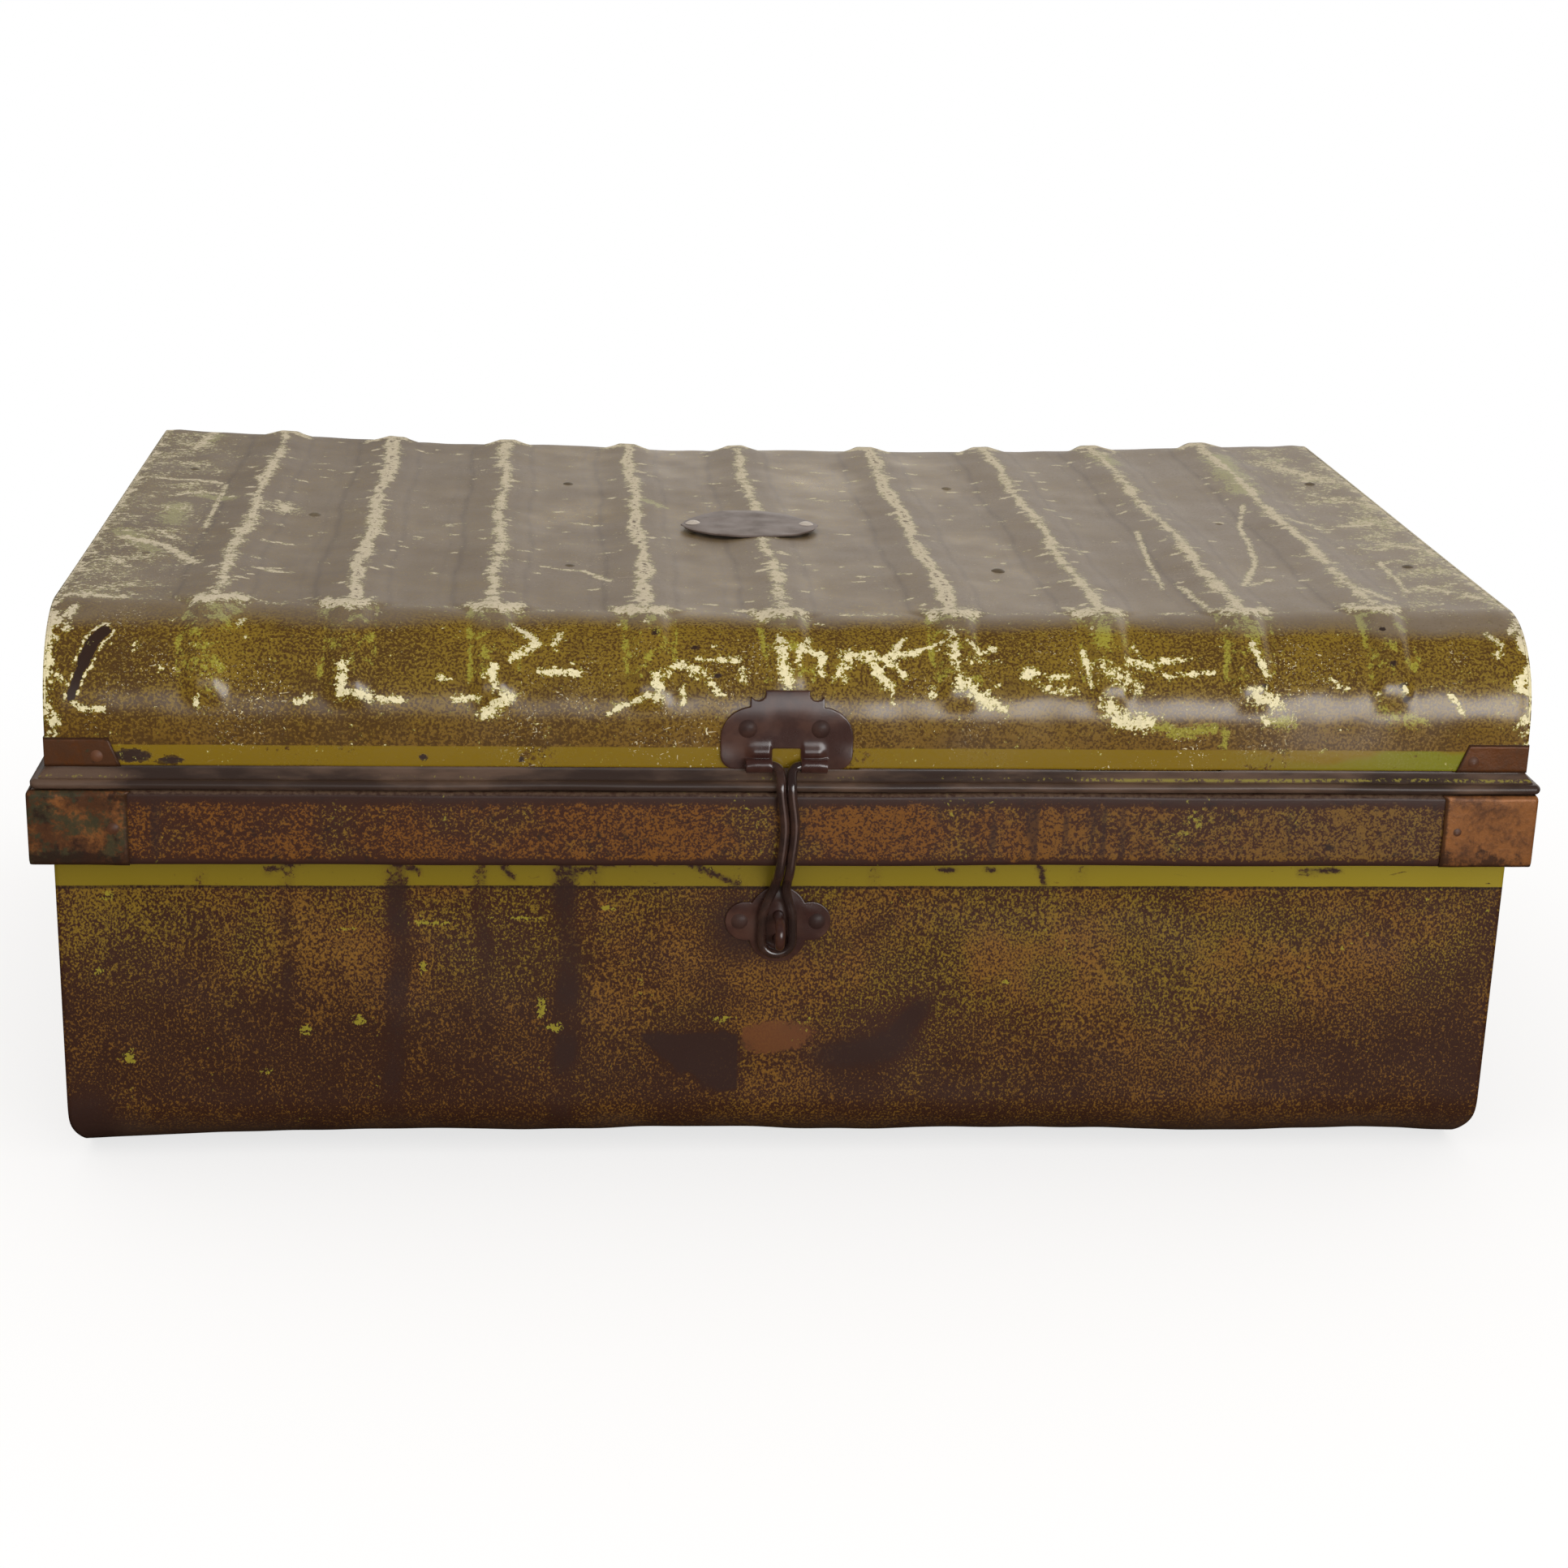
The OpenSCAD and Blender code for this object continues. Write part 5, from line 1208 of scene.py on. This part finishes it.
def hasp():
    # out from the middle, distance in front and height of one leg, from its pin to the eye
    leg = [(17.5, -231.73, 191.85), (11, -231.73, 191.85), (5.6, -231.9, 191.7),
           (3.2, -233.2, 190.4), (2.45, -235.6, 187.9), (2.35, -237.7, 185.0),
           (2.35, -238.5, 180), (2.35, -238.6, 165), (2.3, -238.5, 150), (2.35, -237.3, 143),
           (2.5, -233.2, 138.2), (2.9, -230.6, 133), (4.6, -229.9, 127.5), (6.5, -229.9, 121),
           (6.85, -229.9, 114)]
    bottom = [(6.85 * math.cos(t), -229.9, 108 + 6.2 * math.sin(t))
              for t in np.radians([0, -30, -60, -90, -120, -150, -180])]
    points = leg + bottom + [(-a, b, c) for a, b, c in leg[::-1]]
    points = [(lock["x"] + a + (lean(c) if c < 190 else 1.0), b, c) for a, b, c in points]
    item = tube("hasp", smoothPath(points, 0.9), lock["wire"])
    normals = [point.normal for point in item.data.vertices]
    # The wire's wear value holds a painted highlight, strongest in front
    keep(item, wear=[max(0, -n.y - 0.3 * abs(n.x - 0.25)) for n in normals])    # most in front
    return fit(item, "hasp", [finishes["hasp"]], 0.0, ["hasp"])


def pressed(name, node, body, bend, rounds):    # a cut plate with its edges softened, then bent
    item = added(name, nodes[node].data.copy())
    remesh = item.modifiers.new("remesh", "REMESH")
    remesh.mode = "VOXEL"
    remesh.voxel_size = lock["plateVoxel"] * mm
    soften = item.modifiers.new("soften", "SMOOTH")
    soften.factor, soften.iterations = 0.5, rounds
    bpy.context.view_layer.update()
    depsgraph = bpy.context.evaluated_depsgraph_get()
    shape = bpy.data.meshes.new_from_object(item.evaluated_get(depsgraph))
    item.modifiers.clear()
    item.data = shape
    co = np.zeros(len(shape.vertices) * 3)
    shape.vertices.foreach_get("co", co)
    co = bend(co.reshape(-1, 3) / mm)
    shape.vertices.foreach_set("co", (co * mm).ravel())
    shape.polygons.foreach_set("use_smooth", [True] * len(shape.polygons))
    shape.materials.clear()
    return fit(item, body, [finishes["lock"]], 0.0, [node])


def haspPlateBend(co):
    x, y, z = co[:, 0] - lock["x"], co[:, 1], co[:, 2]
    outer = step(-y, 228.0, 229.5)
    ridge = 1.5 * np.exp(-((z - 197.2) / 3.2) ** 2) * step(-np.abs(x), -19, -14)
    wings = 0.9 * step(np.abs(x), 17, 29) * step(-z, -203, -192)
    dish = -0.25 * np.exp(-((z - 209) / 7) ** 2) * step(-np.abs(x), -12, -4)
    co[:, 1] -= (ridge * step(np.abs(x), 6.2, 8) + wings + dish) * (0.35 + 0.65 * outer)
    co[:, 0] += lid["shift"]
    return co


def staplePlateBend(co):
    x, z = co[:, 0] - lock["x"], co[:, 2] - 115
    edge = step(np.hypot(x / 24, z / 18), 0.62, 1.0)
    co[:, 1] -= 0.5 * (1 - edge) + 0.12 * ripple(x, z, 14, 77)
    return co


hasp()
pressed("haspPlate", "hasp_plate", "lid", haspPlateBend, 5)
pressed("staplePlate", "staple_plate", "tub", staplePlateBend, 4)
print("lock made")


# Finishes of the pieces that stay as they were cut

handleWords = ("handle_plate", "handle_clips", "handle_rivets", "bail", "tub_leaf", "lid_leaf",
               "hinge_pin")
byFinish = {
    "lock": ["staple"],
    "lockRivet": ["staple_rivets", "hasp_plate_rivets"],
    "handle": [word + side for word in handleWords for side in ("_left", "_right")]
              + ["tub_leaf_rivets", "lid_leaf_rivets"],
    "cornerRivet": ["collar_rivets", "lid_corner_rivets"],
    "inside": ["mouth_wire", "rim_wire"],
}
for name, members in byFinish.items():
    for node in members:
        nodes[node].data.materials.clear()
        nodes[node].data.materials.append(finishes[name])


# Studio

view = {    # in mm and degrees
    "place": (-109.25, -1404.4, 570.5),
    "yaw": 5.0,
    "pitch": 18.2,
    "roll": 1.8,
    "lens": 64.09,
}
light = {
    "bench": (0.5, 0.48, 0.46, 1),    # the floor as it lights the trunk
    "benchShine": (0.042, 0.029, 0.015, 1),    # and as the trunk mirrors it
    "sky": 0.93,
    "overhead": 0.3,       # how much brighter the sky is straight above
    "aim": (0.1, 0, 0.15),
    "windows": {    # place, size and power of each lamp
        "frontWindow": ((1.32, -3.0, 0.62), (1.9, 1.3), 38.0),
        "leftWindow": ((-0.1, -3.0, 0.6), (1.2, 0.9), 4.0),
    },
}


def camera():
    data = bpy.data.cameras.new("camera")
    data.lens, data.sensor_width = view["lens"], 36
    data.clip_start, data.clip_end = 0.05, 60
    item = added("camera", data)
    yaw, pitch, roll = (math.radians(view[k]) for k in ("yaw", "pitch", "roll"))
    level, across = math.cos(pitch), Vector((math.cos(yaw), -math.sin(yaw), 0))
    ahead = Vector((math.sin(yaw) * level, math.cos(yaw) * level, -math.sin(pitch)))
    above = across.cross(ahead)
    right = across * math.cos(roll) + above * math.sin(roll)
    up = above * math.cos(roll) - across * math.sin(roll)
    turn = Matrix((right, up, -ahead)).transposed().to_4x4()
    item.matrix_world = Matrix.Translation(Vector(view["place"]) * mm) @ turn
    bpy.context.scene.camera = item


def areaLight(name, at, aim, size, power):
    data = bpy.data.lights.new(name, "AREA")
    data.shape = "RECTANGLE"
    data.size, data.size_y = size
    data.energy = power
    item = added(name, data)
    item.location = at
    item.rotation_euler = (Vector(aim) - Vector(at)).to_track_quat("-Z", "Y").to_euler()


def room():
    world = bpy.data.worlds.new("room")
    bpy.context.scene.world = world
    world.use_nodes = True
    f = Finish("room", world.node_tree)
    x, y, z = f.parts(f.node("TexCoord", out="Generated"))
    seen = f.node("LightPath", out="Is Camera Ray")
    glossy = f.node("LightPath", out="Is Glossy Ray")
    behind = f.ramp(y, -0.2, 0.3)
    low = 1 - f.ramp(z, 0.35, 0.75)
    bright = 0.03 + low * behind * (0.24 + f.ramp(x, -0.45, 0.3) * 0.95)
    sky = light["sky"] * (1 + f.ramp(z, 0.3, 0.9) * light["overhead"])
    level = f.most(seen, glossy * bright + (1 - glossy) * sky)
    tint = f.mix((1, 0.95, 0.9, 1), (1, 1, 1, 1), seen)
    background = f.node("Background", None, {"Color": tint, "Strength": level})
    f.node("OutputWorld", None, {"Surface": background})


def floor():
    rings = np.array([0.0, 0.3, 0.6, 1.0, 2.0, 4.0, 12.0])
    turns = np.radians(np.arange(0, 360, 7.5))
    low = -0.5 * mm    # just under the trunk
    points = [(0, 0, low)]
    for r in rings[1:]:
        points += [(r * math.cos(t), r * math.sin(t), low) for t in turns]
    count = len(turns)
    faces = [(0, 1 + k, 1 + (k + 1) % count) for k in range(count)]
    for ring in range(len(rings) - 2):
        for k in range(count):
            a, b = 1 + ring * count + k, 1 + ring * count + (k + 1) % count
            faces.append((a, a + count, b + count, b))
    item = makeMesh("floor", points, faces)
    f = Finish("floorWhite")
    place = f.node("TexCoord", out="Object")
    distance = f.node("VectorMath", {"operation": "LENGTH"}, {0: place}, out="Value")
    seen = f.node("LightPath", out="Is Camera Ray")
    shine = f.node("LightPath", out="Is Glossy Ray")
    shade = f.mix(f.mix(light["bench"], light["benchShine"], shine), (0.9, 0.9, 0.9, 1), seen)
    white = f.node("BsdfDiffuse", None, {"Color": shade})
    glow = f.node("Emission", None, {"Color": (1, 1, 1, 1), "Strength": 1.0})
    share = seen * (0.72 + f.ramp(distance, 0.35, 0.8) * 0.28)
    mixed = f.node("MixShader", None, {0: share, 1: white, 2: glow})
    f.node("OutputMaterial", None, {"Surface": mixed})
    item.data.materials.append(f.material)


camera()
room()
floor()
for name, (at, size, power) in light["windows"].items():
    areaLight(name, at, light["aim"], size, power)
bpy.context.scene.view_settings.view_transform = "Standard"
print("studio made")
